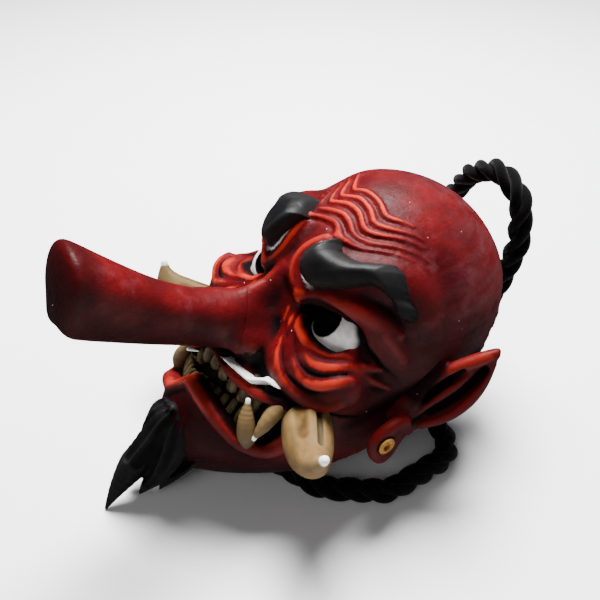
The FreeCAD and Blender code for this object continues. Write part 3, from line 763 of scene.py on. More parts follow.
# Forehead furrows over the whole brow: (x, z, radius), from the far temple to the near one
FURROWS = [
    [(-14.0, 28.2, 0.5), (-11.8, 26.8, 1.0), (-8.6, 23.6, 1.2), (-5.8, 21.6, 1.2),
     (-1.0, 23.6, 1.1), (3.9, 24.6, 1.1), (7.6, 23.4, 1.2), (11.2, 22.4, 1.2), (16.3, 23.2, 1.2),
     (22.6, 26.8, 0.9), (26.5, 27.9, 0.5), (30.0, 28.0, 0.15)],
    [(-15.0, 31.4, 0.5), (-12.4, 29.8, 1.0), (-9.0, 26.6, 1.2), (-6.4, 24.6, 1.2),
     (-1.5, 26.4, 1.1), (3.6, 27.8, 1.1), (7.4, 26.8, 1.2), (11.6, 24.8, 1.2), (16.2, 25.4, 1.2),
     (21.5, 28.6, 0.9), (25.6, 29.9, 0.5), (28.6, 30.0, 0.15)],
    [(-15.6, 34.0, 0.5), (-12.4, 33.0, 0.9), (-8.4, 30.0, 1.2), (-5.2, 28.4, 1.2),
     (-2.0, 29.8, 1.1), (1.8, 31.0, 1.1), (6.6, 30.6, 1.2), (11.8, 27.9, 1.2), (15.6, 28.6, 1.1),
     (20.8, 31.6, 0.7), (25.0, 32.4, 0.15)],
    [(-14.6, 36.6, 0.5), (-11.2, 35.6, 0.9), (-7.4, 33.0, 1.1), (-4.4, 31.6, 1.2),
     (-0.6, 33.0, 1.1), (2.0, 34.0, 1.1), (7.2, 33.2, 1.1), (11.9, 30.8, 1.1), (15.8, 31.6, 1.0),
     (20.4, 33.9, 0.6), (23.6, 34.4, 0.15)],
    [(-15, 39.6, 0.4), (-12, 38.8, 0.7), (-9.5, 37.6, 0.9), (-6.4, 36.2, 1.0), (-3.6, 35.2, 1.0),
     (0.8, 36.8, 1.0), (6.8, 36.2, 1.0), (12.0, 34.2, 1.0), (15.6, 35.2, 0.7), (19.0, 36.2, 0.15)],
]


def add_furrows(clay):
    """Each furrow is a soft ridge with a thin cut below it."""
    for ridge in FURROWS:
        fold(clay, [(x, z, 0.86 * r) for x, z, r in ridge], 0.55, 0.7)
        crease(clay, [(x, z - 1.3, 0.36 * r) for x, z, r in ridge], 0.5)


def shift_far_side(clay):
    """Moves the right half of the upper face inward by drift() and its lower lip down by sag()."""
    _, (x, y, z) = clay.window()
    for axis, shift in ((2, sag(x, z) + 0 * y), (0, -drift(x, y, z))):
        place = (x, y, z)[axis]
        source = np.clip((place + shift - clay.low[axis]) / clay.step, 0, clay.count[axis] - 1.001)
        first = source.astype(np.int32)
        part = (source - first).astype(np.float32)
        lower = np.take_along_axis(clay.d, first, axis)
        clay.d = lower * (1 - part) + np.take_along_axis(clay.d, first + 1, axis) * part


def tube_x(clay, yz, x0, x1, radius, carve=False):
    """A round boss or bore along X on both sides of the mask."""
    for side in (1, -1):
        clay.stroke([(side * x0, *yz, radius), (side * x1, *yz, radius)], 0.6, carve)


def make_head():
    """The finished face and nose as two clays, the two in one, and two blurs of that."""
    half = Clay((-3.0, -73.8, -78.0), (54.0, 68.4, 57.0), STEP)
    _, (x, y, z) = half.window()
    bare = np.broadcast_to(head_distance(x, y, z), half.d.shape).astype(np.float32)
    half.d = bare.copy()
    add_features(half)
    add_nose(half)
    bare_clay = half.like(bare).mirrored()
    shift_far_side(bare_clay)
    whole = half.mirrored()
    open_eyes(whole)
    shift_far_side(whole)
    add_furrows(whole)
    narrow = whole.blurred(1.2)
    wide = whole.blurred(3.2)
    _, (x, y, z) = whole.window()
    side = np.abs(x - drift(x, y, z))
    at_eye = 1 - ease(np.hypot(side - 22.0, z + 1.0), 10.0, 15.0)
    wall = WALL + 7.0 * at_eye * (1 - ease(y, 22.0, 30.0))
    face = whole.like(smooth_max(whole.d, -(bare_clay.d + wall), 0.6))
    for socket, deep in ((HANG_SOCKET, HANG_DEEP), (TIE_SOCKET, TIE_DEEP)):
        tube_x(face, socket, 33.0, deep, 6.6)
        face.d = np.maximum(face.d, whole.d)
        tube_x(face, socket, 24.0, deep - 4.0, 4.1, True)
    face.d = smooth_max(face.d, np.broadcast_to(rim_distance(y, z), face.d.shape), 0.8)
    # The nose takes the skin in front of its seam; the face runs on a little way beneath it
    zone = np.maximum(np.maximum(y - NOSE_SEAM, np.abs(x) - 16.0),
                      -(z + 27.5 - 0.35 * (y - NOSE_SEAM)))
    nose = whole.like(np.maximum(whole.d, zone))
    sunk = 0.18 * ease(-zone, -0.2, 0.5)
    face.d = np.maximum(face.d + sunk, -(zone + 1.5)).astype(np.float32)
    return face, nose, whole, narrow, wide


def line_distance(points, line):
    """Distance of points to a polyline, in their own space."""
    best = np.full(len(points), 1e9)
    for a, b in zip(line[:-1], line[1:]):
        e = b - a
        t = np.clip((points - a) @ e / (e @ e + 1e-9), 0, 1)[:, None]
        best = np.minimum(best, np.linalg.norm(points - a - t * e, axis=1))
    return best


def near(points, line, inner, outer):
    """1 within inner mm of an (x, z) line and 0 beyond outer mm."""
    return 1 - ease(line_distance(points, curve(line)), inner, outer)


def orange_brush(flat, side, x, z):
    """Where the orange brush went: cheek bags, brow rims, furrows, front of the lower lip."""
    bags = near(flat, [(14, -5), (17, -14), (25, -15), (31, -13)], 5.0, 9.0)
    rims = 0.5 * near(flat, [(9.5, 21.5), (5.5, 12.0), (12.0, 4.5)], 2.4, 4.0)
    lid = 0.3 * near(flat, [(22, 8), (30, 8), (36, 4)], 1.6, 3.5)
    middle = 1 - ease(np.abs(x - 3.6), 11.0, 20.0)
    furrows = ease(z, 20.0, 24.0) * middle * (0.35 + 0.65 * ease(z, 24, 31))
    lip = 0.9 * near(flat, [(-12, -39), (0, -39), (8, -39.8), (13, -41)], 2.0, 3.6)
    lip = lip * (1 - 0.7 * ease(side, 9.0, 16.0))
    nose_side = 0.6 * near(flat, [(11, -5), (15, -4)], 3.0, 5.0)
    return np.maximum.reduce([bags, rims, lid, furrows, lip, nose_side, 0.18 + 0 * x])


def shade_cover(side, y, z):
    """The darker underside and end of the nose, the jaw and the temple."""
    nose_under = 0.8 * ease(-y, 8.0, 20.0) * ease(-z, 15.5, 25.0) * (z > -40)
    nose_end = 0.85 * ease(-y, 57.0, 67.0)
    jaw = 0.75 * ease(-z, 38.0, 48.0)
    temple = 0.55 * ease(side, 34.0, 43.0) * ease(-z, -26.0, -8.0)
    return np.maximum.reduce([nose_under, nose_end, jaw, temple])


def black_and_shade_cover(flat, mirror, x, outward):
    """Black paint and painted shadow: black at the eye openings, mouth, the gap over the lip and the ear
    roots; painted shadow under the nose and in the nostrils.
    """
    side, y, z = mirror.T
    lids = 1 - ease(polygon_distance(side, z, EYE), 0.5, 1.7)
    hood = near(flat, [(15, 1), (19, 4.4), (24.5, 5.2), (29, 3.6), (32, -0.6), (34, -3)], 0.7, 1.6)
    lids = np.maximum(lids, 0.85 * hood) * (y < 20)
    mouth = (1 - ease(polygon_distance(x, z, MOUTH), 0.0, 0.8)) * (y < 10) * (outward < 1.5)
    gap = near(flat, [(12.4, -18.5), (14.0, -21.6), (19.0, -24.0), (26.0, -25.6), (32, -25)], 1.2, 3.2)
    gap = gap * (outward < 1.6) * (y < 10)
    # Painted shadow under the nose
    shadow_under_nose = 0.9 * near(flat, [(0, -24.6), (6, -24.2), (11.0, -21.8)], 1.8, 3.4)
    shadow_under_nose = shadow_under_nose * (y > -15) * (outward < 3.0)
    # Painted shadow in the nostril
    nostril = 1 - ease(np.linalg.norm(mirror - (6.6, -10.5, -24.5), axis=1), 2.8, 5.0)
    ear_root = np.array([(43.5, 46, 12), (43.2, 32, -1), (41.5, 22, -14), (40.0, 17, -24)], float)
    under_ear = 0.9 * (1 - ease(line_distance(mirror, ear_root), 1.4, 4.4))
    return np.maximum.reduce([lids, mouth, gap, shadow_under_nose, nostril, under_ear])


def paint_head(piece, whole, narrow, wide, brow):
    """Every painted value of the face or the nose; whole is the clay of both."""
    points = to_mask(vertices(piece))
    x, y, z = points.T
    forehead = ease(z, 19.0, 23.0) * (1 - ease(y, 24.0, 34.0))
    paint_relief(piece, whole, narrow, wide, 1 - 0.6 * forehead)
    # From here on the right side is measured as if it had not been moved by drift() and sag()
    side = np.abs(x - drift(x, y, z))
    z = z + sag(x, z)
    flat = np.stack([side, z], 1)
    mirror = np.stack([side, y, z], 1)
    outward = head_distance(side, y, z)
    inner = ease(-outward, 1.6, 2.4)
    front = (1 - ease(y, 20.0, 34.0)) * (1 - inner)
    shank = ease(-y, 11.0, 15.0) * (z > -34)
    brushed = orange_brush(flat, side, x, z)
    # Dust and painted sheen towards the back of the head
    paint(piece, "dust", ease(y, 12.0, 44.0) * (1 - inner) * ease(z, -45, -20))
    paint(piece, "shade", shade_cover(side, y, z))
    paint(piece, "fold", np.clip(front * brushed * (1 - 0.9 * shank), 0, 1))
    paint(piece, "soot", np.maximum(black_and_shade_cover(flat, mirror, x, outward), 0.96 * inner))
    to_brow = brow.sample(brow.d, mirror)
    shown = ease(17.0 - side, 0.0, 5.0) * ease(20.5 - z, 0.0, 4.0) * (side > 3)
    line = ease(to_brow, 0.1, 0.3) * (1 - ease(to_brow, 0.9, 1.3))
    paint(piece, "white_line", line * shown)


# ---------------------------------------------------------------- pieces set on the face

def bare_front(x, z):
    """y of the bare head's front at one (x, z)."""
    y = np.arange(-30.0, 40.0, 0.25)
    inside = head_distance(np.full_like(y, x), y, np.full_like(y, z)) < 0
    return float(y[np.argmax(inside)])


def pillow(clay, skin, outline, height, edge, sink=1.2):
    """A cushion on the skin inside an (x, z) outline, rising over edge mm to its full height."""
    _, (x, y, z) = clay.window()
    flat = polygon_distance(x[:, :, 0], z[:, 0, :], outline)[:, None, :]
    grid = np.meshgrid(x[:, 0, 0], y[0, :, 0], z[0, 0, :], indexing="ij")
    depth = skin.sample(skin.d, np.stack(grid, -1).reshape(-1, 3)).reshape(clay.d.shape)
    rise = np.clip(-flat / edge, 0, 1)
    rise = height * np.sqrt(rise * (2 - rise))
    top = 0.8 * (depth - rise)
    clay.d = np.maximum(np.maximum(top, flat), -sink - depth).astype(np.float32)


def paint_again(piece, name, least):
    """Raises a painted value to at least that much."""
    layer = piece.data.attributes[name]
    values = np.empty(len(piece.data.vertices), np.float32)
    layer.data.foreach_get("value", values)
    layer.data.foreach_set("value", np.maximum(values, least))


def mirror_piece(piece, name):
    """A copy on the other side of the mask's middle plane."""
    twin = piece.copy()
    twin.data = piece.data.copy()
    twin.name = name
    twin.data.name = name
    bpy.context.scene.collection.objects.link(twin)
    co = vertices(twin)
    co[:, 0] *= -1
    twin.data.vertices.foreach_set("co", co.ravel())
    twin.data.flip_normals()
    return twin


def settle(piece):
    """Carries a piece along with the face's right half: inward by drift(), down by sag()."""
    x, y, z = to_mask(vertices(piece)).T
    lowered = z.copy()
    for _ in range(8):
        lowered = z - 0.5 * sag(x, lowered)
    moved = x.copy()
    for _ in range(12):
        moved = x + drift(moved, y, lowered)
    piece.data.vertices.foreach_set("co", to_table(np.stack([moved, y, lowered], 1)).ravel())


def finish_pair(piece, stem, material, painted_shade=0.0, other=None):
    """Adds the right-hand twin, of another piece if given; the twin is darkened with black to that share,
    as painted shade.
    """
    twin = mirror_piece(other or piece, stem + "_right_visual")
    if other:
        bpy.data.objects.remove(other)
    if painted_shade:
        paint_again(twin, "soot", painted_shade)
    settle(twin)
    join_frame(piece, material, [stem + "_left"])
    join_frame(twin, material, [stem + "_right"])


BROW_OUTLINE = [(9.4, 10.8), (8.6, 14.2), (9.4, 17.8), (10.8, 20.0), (11.8, 22.6), (13.2, 21.0),
                (15.4, 19.8), (18.2, 19.8), (21.0, 20.6), (23.7, 22.6), (26.8, 24.8), (30.0, 24.0),
                (32.9, 20.6), (34.4, 18.2), (36.0, 17.4), (37.2, 15.8), (36.8, 13.6), (35.4, 12.8),
                (34.0, 13.8), (32.2, 16.0), (29.6, 17.0), (27.4, 17.0), (25.2, 15.0), (22.4, 11.4),
                (19.4, 8.8), (17.4, 7.6), (14.4, 7.2), (11.4, 8.2)]
FAR_BROW_OUTLINE = [(9.4, 10.8), (8.2, 14.2), (7.2, 18.0), (6.4, 21.4), (9.4, 22.8), (12.8, 24.4),
                    (16.2, 26.2), (20.0, 26.2), (24.0, 25.4), (28.4, 24.8), (32.0, 21.6), (35.2, 18.0),
                    (36.4, 14.8), (34.0, 13.8), (32.2, 15.8), (29.0, 17.0), (25.6, 15.6), (22.4, 11.6),
                    (19.4, 8.8), (17.4, 7.6), (14.4, 7.2), (11.4, 8.2)]
MOUSTACHE = [(6.1, -26.2), (6.8, -24.7), (12.0, -24.8), (16.6, -25.0), (18.7, -22.6), (21.4, -22.1),
             (24.5, -22.9), (20.5, -24.3), (18.2, -26.4), (13.3, -26.4)]


def make_brow(half, outline):
    clay = Clay((3, -16, 3), (44, 26, 30), 0.4)
    pillow(clay, half, outline, 4.6, 4.0)
    return clay


def build_brows(clay, far_clay):
    """The left brow, and the right one from the mirror image of its own clay."""
    piece = mesh_from_clay(clay, "brow_left_visual", 24000)
    paint_relief(piece, clay)
    other = mesh_from_clay(far_clay, "far_brow", 24000)
    paint_relief(other, far_clay)
    finish_pair(piece, "brow", MATERIALS["black"], other=other)


def build_moustache(half):
    clay = Clay((3, -26, -30), (28, 12, -18), 0.35)
    pillow(clay, half, MOUSTACHE, 1.7, 1.2)
    piece = mesh_from_clay(clay, "moustache_left_visual", 12000)
    paint_relief(piece, clay)
    paint(piece, "soot", np.zeros(len(piece.data.vertices)))
    finish_pair(piece, "moustache", MATERIALS["white"])


EYEBALL = (21.2, 12.2, -1.2, 10.6)  # x, y, z and radius
EYE_BACK = 12.0             # y of the flat back of the plate
PUPIL_DEEP = 4.6            # y of the blind end of the pupil


def build_eyes():
    """Part of a ball behind each opening, with the pupil as a deep blind hole."""
    x, y, z, radius = EYEBALL
    clay = Clay((8, 0, -15), (37, 14, 13), 0.4)
    clay.ball((x, y, z), (radius, radius, radius))
    _, (_, gy, _) = clay.window()
    clay.d = np.maximum(clay.d, gy - EYE_BACK).astype(np.float32)
    px, pz, pr = PUPIL
    clay.stroke([(px, -10, pz, pr), (px, PUPIL_DEEP, pz, pr)], 0.5, True)
    piece = mesh_from_clay(clay, "eye_left_visual", 12000)
    points = paint_relief(piece, clay)
    hole = np.hypot(points[:, 0] - px, points[:, 2] - pz)
    lid = polygon_distance(points[:, 0], points[:, 2], EYE)
    # Black in the pupil, and painted shade on the ball beyond the edge of the eye opening
    paint(piece, "soot", np.maximum(1 - ease(hole, pr + 0.15, pr + 0.5), ease(lid, 1.2, 2.4)))
    finish_pair(piece, "eye", MATERIALS["white"])


# Teeth of one side: x, half width
UPPER_TEETH = [(2.4, 2.5), (7.1, 2.5), (11.7, 2.4), (16.0, 2.2), (19.8, 1.9)]
LOWER_TEETH = [(1.9, 1.6), (5.5, 1.6), (8.9, 1.5), (12.1, 1.4), (15.2, 1.3), (18.2, 1.2)]


def build_tooth_row(node, teeth, root, edge):
    """Rounded pegs on a gum along the jaw, from z = root to their worn edge."""
    upper = edge < root
    middle = 0.5 * (root + edge)
    clay = Clay((-24, -14, min(root, edge) - 3), (24, 12, max(root, edge) + 3), 0.4)
    rng = np.random.default_rng(len(teeth))
    for x, wide in teeth:
        for side in (1, -1):
            tip = edge - math.copysign(0.8 * wide, edge - root) + rng.uniform(-0.4, 0.4)
            drop = (x / 24.0) ** 2 * (3.0 if upper else -4.4)
            y = bare_front(x, middle) + (2.6 if upper else 3.8)
            waist = 0.5 * (root + tip)
            clay.stroke([(side * x, y + 0.9, root - drop, wide), (side * x, y, waist - drop, wide),
                         (side * x, y + 0.1, tip - drop, 0.9 * wide)], 0.25)
    cells, (x, y, z) = clay.window()
    bare = np.broadcast_to(head_distance(x, y, z), clay.d.shape)
    gum = np.maximum(np.abs(bare + 7.4) - 1.3, np.abs(z - middle) - 0.5 * abs(root - edge) - 2.0)
    clay.mix(cells, np.maximum(gum, np.abs(x) - 23.0), 0.4, False)
    piece = mesh_from_clay(clay, node + "_visual", 26000)
    points = paint_relief(piece, clay)
    # Black on the gum; painted shade deep in the mouth, towards the roots, and all over each row, most on
    # the lower one
    deep = ease(-head_distance(*points.T), 4.6, 5.8)
    neck = ease(np.abs(points[:, 2] - edge), 3.0, 6.5)
    paint(piece, "soot", np.maximum.reduce([deep, neck, 0 * deep + (0.1 if upper else 0.45)]))
    settle(piece)
    join_frame(piece, MATERIALS["tooth"], [node])


def build_teeth():
    build_tooth_row("upper_teeth", UPPER_TEETH, -25.0, -33.0)
    build_tooth_row("lower_teeth", LOWER_TEETH, -44.0, -36.2)


def build_horn(stem, line, block, step, white, painted_shade, triangles, detail, groove=None):
    """A fang or tusk through (x, y, z, radius) samples, with a white tip, black towards its root and
    painted shade in its groove.
    """
    clay = Clay(*block, step)
    clay.stroke(curve(line, 0.5), 0.2)
    detail(clay)
    piece = mesh_from_clay(clay, stem + "_left_visual", triangles)
    points = paint_relief(piece, clay)
    far = np.linalg.norm(points - np.array(line[-1][:3]), axis=1)
    paint(piece, "white_line", 1 - ease(far, white, white + 0.5))
    root = np.linalg.norm(np.array(line[0][:3]) - line[-1][:3])
    # Painted shade all over to the given share, black towards the root, and painted shade along the groove
    soot = np.maximum(painted_shade, 0.9 * ease(far, 0.66 * root, 1.0 * root))
    if groove is not None:
        soot = np.maximum(soot, 0.9 * (1 - ease(line_distance(points, groove), 0.5, 1.3)))
    paint(piece, "soot", soot)
    # The right twin takes painted shade to 0.6
    finish_pair(piece, stem, MATERIALS["horn"], 0.6)


TUSK = [(27.0, 9.6, -26.6, 7.2), (34.2, 6.4, -29.4, 7.7), (40.6, 3.0, -30.8, 7.0),
        (46.2, -0.6, -30.2, 4.9), (50.0, -3.4, -28.0, 2.7), (52.2, -5.2, -24.8, 1.0)]
UPPER_FANG = [(25.4, 0.6, -27.8, 2.3), (25.9, -1.0, -30.6, 2.6), (26.4, -2.2, -34.6, 2.1),
              (26.4, -3.0, -39.6, 0.7)]
LOWER_FANG = [(24.4, -2.0, -43.4, 2.4), (23.6, -4.0, -40.0, 2.9), (22.0, -5.6, -36.0, 2.4),
              (20.1, -7.0, -31.0, 0.6)]


TUSK_CHEEK = (-0.24, -0.72, 0.65)   # the way the tusk's flat cheek and its groove face
TUSK_GROOVE = (0.06, -0.12, 0.99)


def tusk_groove():
    """The thin groove between the tusk's two facets, on its surface."""
    line = np.array(curve(TUSK[:5], 0.5))
    line = line[int(0.22 * len(line)): int(0.74 * len(line))]
    return line[:, :3] + line[:, 3:] * np.array(TUSK_GROOVE) * 0.97


def facet_tusk(clay):
    """One hollow cheek along the tusk, a crest below it and a groove beside it."""
    line = np.array(curve(TUSK[:5], 0.5))
    for toward, bite, width, first, last in ((TUSK_CHEEK, 1.1, 10.0, 0.0, 0.60),
                                             (TUSK_GROOVE, 1.5, 1.0, 0.15, 0.76)):
        cut = line[int(first * len(line)): int(last * len(line))].copy()
        away = cut[:, 3] + width - bite * np.linspace(1, 0.4, len(cut))
        cut[:, :3] += away[:, None] * np.array(toward)
        cut[:, 3] = width
        clay.stroke(cut, 0.35, True)
    clay.ball(TUSK[-1][:3], (1.3, 1.3, 1.3), 0.3)


def bulb(line):
    """Adds the little ball that ends a fang."""
    return lambda clay: clay.ball(line[-1][:3], (0.85, 0.85, 0.85), 0.3)


def build_horns():
    build_horn("tusk", TUSK, ((16, -16, -44), (58, 20, -18)), 0.4, 1.3, 0.0, 40000, facet_tusk,
               tusk_groove())
    # The fangs take painted shade to 0.45 all over
    for stem, line, block in (("upper_fang", UPPER_FANG, ((20, -10, -44), (33, 8, -22))),
                              ("lower_fang", LOWER_FANG, ((14, -14, -50), (32, 6, -26)))):
        build_horn(stem, line, block, 0.3, 0.8, 0.45, 8000, bulb(line))


# ---------------------------------------------------------------- ears

EAR_FOOT = (43.5, 30.0)     # x and y of the upright line the leaf opens about
EAR_FLARE = math.radians(40.0)
# Outlines: of the leaf by distance from the foot line and z, of the lobe by y and z
EAR_LEAF = [(12.8, 19.1), (8.3, 13.7), (3.3, 6.5), (0.6, 0.1), (-0.5, -6.0), (-0.6, -12.4),
            (0.6, -18.0), (5.6, -18.5), (7.0, -14.6), (11.5, -9.7), (14.6, -4.0), (15.9, 2.2),
            (15.7, 9.5), (14.5, 14.9)]
EAR_LOBE = [(29.0, -11.5), (24.1, -13.9), (21.1, -17.8), (20.1, -22.8), (23.0, -27.3), (28.4, -29.6),
            (31.6, -27.7), (32.4, -23.8), (31.9, -19.4), (32.4, -14.4)]
LOBE_X = 45.8               # x of the lobe's middle
EYELET = (24.2, -21.5)      # y and z


def leaf_point(s, z, out=0.0):
    """Leaf coordinates (distance from the foot line, z, height over its face) to the mask."""
    c, t = math.cos(EAR_FLARE), math.sin(EAR_FLARE)
    return (EAR_FOOT[0] + t * s + c * out, EAR_FOOT[1] + c * s - t * out, z)


def leaf_frame(x, y):
    """The distance from the foot line along the leaf, and the height over its face."""
    c, t = math.cos(EAR_FLARE), math.sin(EAR_FLARE)
    x, y = x - EAR_FOOT[0], y - EAR_FOOT[1]
    return t * x + c * y, c * x - t * y


def rounded(outline):
    """A closed outline with its corners rounded."""
    return curve(outline + outline[:1], 1.0)


def leaf_strokes(clay, line, out, blend, carve=False):
    samples = curve(line, 0.5)
    points = [(*leaf_point(s, z, out), r) for s, z, r in samples]
    clay.stroke(points, blend, carve)


def ear_clay():
    """The left ear: a pointed leaf that flares from the head, and the free lobe below it."""
    clay = Clay((36, 16, -33), (58, 48, 24), 0.4)
    cells, (x, y, z) = clay.window()
    along, out = leaf_frame(x, y)
    leaf = smooth_max(polygon_distance(along, z, rounded(EAR_LEAF)), np.abs(out + 2.0) - 1.7, 2.0)
    clay.mix(cells, leaf, 0.5, False)
    lobe = smooth_max(polygon_distance(y, z, rounded(EAR_LOBE)), np.abs(x - LOBE_X) - 2.1, 2.2)
    clay.mix(cells, lobe, 1.5, False)
    # Root towards the head
    clay.stroke([(41, 33, 6, 3.0), (41.5, 31, -4, 3.4), (41, 29, -14, 3.0)], 2.0)
    # Helix along the rear and top, folds and two hollows
    leaf_strokes(clay, [(2.4, 2.0, 1.2), (4.8, 7.0, 1.9), (9.2, 12.6, 2.2), (12.2, 16.6, 1.8),
                        (12.9, 18.4, 0.8)], -1.0, 1.6)
    leaf_strokes(clay, [(13.6, 14.5, 1.2), (14.7, 8.5, 1.5), (14.8, 2.4, 1.6), (13.4, -3.4, 1.5),
                        (10.6, -8.6, 1.4), (6.6, -13.0, 1.3)], -0.4, 0.8)
    leaf_strokes(clay, [(12.4, 12.4, 0.9), (12.4, 8.0, 1.6), (11.4, 2.8, 1.9), (9.4, -2.6, 1.7),
                        (6.6, -8.0, 1.3), (4.0, -12.0, 0.8)], 0.4, 0.8, True)
    leaf_strokes(clay, [(7.0, 8.6, 0.8), (6.0, 4.4, 1.5), (4.4, -0.6, 1.7), (2.8, -5.6, 1.3)],
                 0.2, 0.8, True)
    leaf_strokes(clay, [(9.6, 9.2, 0.7), (8.6, 4.4, 1.1), (6.8, -0.6, 1.2), (4.8, -5.6, 1.1),
                        (2.8, -10.8, 1.1), (1.4, -15.0, 0.9)], -0.2, 0.8)
    leaf_strokes(clay, [(0.4, -2.4, 1.0), (1.0, -7.0, 1.4), (1.0, -11.0, 1.2)], 0.2, 1.0)
    # Dish and hole of the lobe
    clay.ball((49.4, *EYELET), (1.9, 4.6, 4.6), 0.8, True)
    clay.stroke([(40, *EYELET, 2.15), (52, *EYELET, 2.15)], 0.3, True)
    return clay


def paint_ear(piece, points):
    """Black in the hollows, at the foot and round the eyelet, dust and painted sheen behind."""
    x, y, z = points.T
    along, out = leaf_frame(x, y)
    leaf = np.stack([along, z], 1)
    outer = (out > -3.4) * (z > -12)
    back = 1 - ease(out, -4.6, -3.2)
    bowl = near(leaf, [(12.4, 11.6), (12.2, 7.6), (11.2, 2.6), (9.2, -2.8), (6.4, -8.0)], 0.9, 2.2)
    hole = 0.95 * near(leaf, [(5.6, 4.0), (4.2, -0.6), (2.8, -5.0)], 0.7, 2.0)
    root = 0.92 * (1 - ease(along, 1.6, 3.6)) * ease(z, -10.0, -6.0) * (1 - ease(z, 6.0, 12.0))
    to_eyelet = np.hypot(y - EYELET[0], z - EYELET[1])
    dish = 0.9 * (1 - ease(to_eyelet, 2.6, 3.8)) * (x > LOBE_X + 0.2)
    paint(piece, "soot", np.maximum(np.maximum.reduce([bowl, hole, root]) * outer, dish))
    helix = 0.5 * near(leaf, [(4, 7), (7, 10.5), (11, 15.5)], 1.0, 2.4)
    paint(piece, "fold", np.maximum(helix, 0.10) * (1 - 0.7 * back))
    paint(piece, "dust", 0.7 * back)
    paint(piece, "shade", 0.45 + 0 * x)
    paint(piece, "white_line", 0 * x)


def build_ears():
    clay = ear_clay()
    piece = mesh_from_clay(clay, "ear_left_visual", 60000)
    paint_ear(piece, paint_relief(piece, clay))
    finish_pair(piece, "ear", MATERIALS["red"])


# ---------------------------------------------------------------- beard

# Locks of hair: x, y, z and radius, from the chin down
LOCKS = [
    [(1.8, -12.6, -49.8, 1.8), (1.8, -13.2, -52.2, 4.2), (1.7, -13.2, -56.0, 5.8),
     (1.2, -12.8, -61.5, 6.6), (0.2, -13.4, -69.0, 5.8), (-0.3, -14.4, -77.0, 4.4),
     (0.0, -15.2, -85.4, 2.4), (0.6, -15.5, -92.6, 0.5)],
    [(5.0, -12.0, -51.6, 2.4), (5.8, -11.6, -55.6, 5.0), (6.6, -10.4, -61.0, 5.4),
     (7.0, -9.8, -70.0, 3.8), (5.3, -9.6, -77.0, 2.2), (3.4, -8.7, -83.4, 0.4)],
    [(-2.2, -12.0, -51.6, 2.4), (-3.0, -11.6, -55.6, 5.0), (-4.4, -10.4, -61.0, 5.2),
     (-5.3, -9.4, -71.0, 3.5), (-4.1, -9.6, -78.0, 2.0), (-3.1, -9.7, -84.2, 0.4)],
    [(5.8, 0.8, -59.0, 4.6), (6.6, -2.6, -65.6, 4.0), (5.8, -3.6, -73.0, 2.6), (4.3, -2.7, -80.4, 0.4)],
    [(-2.0, 1.2, -59.0, 4.6), (-3.0, -1.6, -66.0, 3.8), (-2.2, -1.6, -73.0, 2.4),
     (-1.2, -0.1, -80.0, 0.4)],
    [(9.4, -0.6, -57.0, 2.6), (10.4, -3.8, -62.5, 2.2), (9.4, -5.3, -68.0, 1.4), (7.9, -5.2, -73.5, 0.4)],
]


# Where the long flutes of the first locks lie, as shares of the half width
FLUTES = [(-0.66, 0.04, 0.74), (0.04, 0.74), (-0.66, 0.04), (0.04, 0.74)]


def build_beard():
    """Overlapping locks, the front ones with long flutes cut along them."""
    clay = Clay((-15, -26, -95), (15, 8, -46), 0.4)
    for lock in LOCKS:
        clay.stroke(curve(lock, 0.25), 0.4)
    for lock, places in zip(LOCKS, FLUTES):
        line = np.array(curve(lock, 0.25))
        for across in places:
            away = 1.22 * line[:, 3]
            flute = line.copy()
            flute[:, 0] += across * away
            flute[:, 1] -= math.sqrt(1 - across * across) * away
            flute[:, 3] = 0.48 * line[:, 3]
            clay.stroke(flute[:-8], 0.2, True)
    piece = mesh_from_clay(clay, "beard_visual", 60000)
    paint_relief(piece, clay)
    join_frame(piece, MATERIALS["black"], ["beard"])


# ---------------------------------------------------------------- brass and cords

def build_eyelets():
    """A turned brass tube with a rolled rim in each lobe."""
    profile = [(-2.4, 1.25), (-2.4, 2.05), (2.2, 2.05), (2.4, 2.85), (2.9, 2.75), (3.15, 2.3), (3.1, 1.7),
               (2.8, 1.25)]
    count = 40
    rings = []
    for step in range(count):
        angle = 2 * math.pi * step / count
        for out, radius in profile:
            rings.append((LOBE_X + out, EYELET[0] + radius * math.cos(angle),
                          EYELET[1] + radius * math.sin(angle)))
    size = len(profile)
    faces = []
    for i in range(count):
        j = (i + 1) % count
        for k in range(size):
            m = (k + 1) % size
            faces.append((i * size + k, i * size + m, j * size + m, j * size + k))
    piece = mesh_object("eyelet_left_visual", to_table(rings).tolist(), faces)
    piece.data.shade_smooth()
    finish_pair(piece, "eyelet", MATERIALS["brass"])


CORD_R = 4.0
CORD_BEND = 9.0             # radius of the bends
CORD_TURN = 23.0            # |x| where the cord leaves the line of its sockets
CORD_LAY = 23.0             # length of one full twist
STRAND_R = 0.47 * CORD_R
STRAND_OFF = 0.536 * CORD_R
STRAND_SIDES = 14
# Corners of the cords' middle lines in the part's frame, in millimetres
HANG_PATH = [(21.0, 31.8, 37.6), (21.0, 65.8, 39.0), (22.5, 71.8, 62.0), (19.5, 72.3, 77.5),
             (8.5, 71.8, 85.0), (-5.0, 73.3, 76.5), (-16.0, 76.3, 60.0), (-21.0, 66.8, 41.0),
             (-21.0, 31.8, 37.6)]
TIE_PATH = [(25.0, 11.8, 24.0), (33.0, 36.8, 4.0), (46.5, 29.8, 4.0), (47.0, 2.8, 4.0),
            (34.0, -15.2, 4.0), (14.0, -23.2, 4.0), (-8.0, -16.2, 4.0), (-26.0, 5.8, 4.0),
            (-28.0, 21.8, 6.0), (-25.0, 15.8, 22.0)]


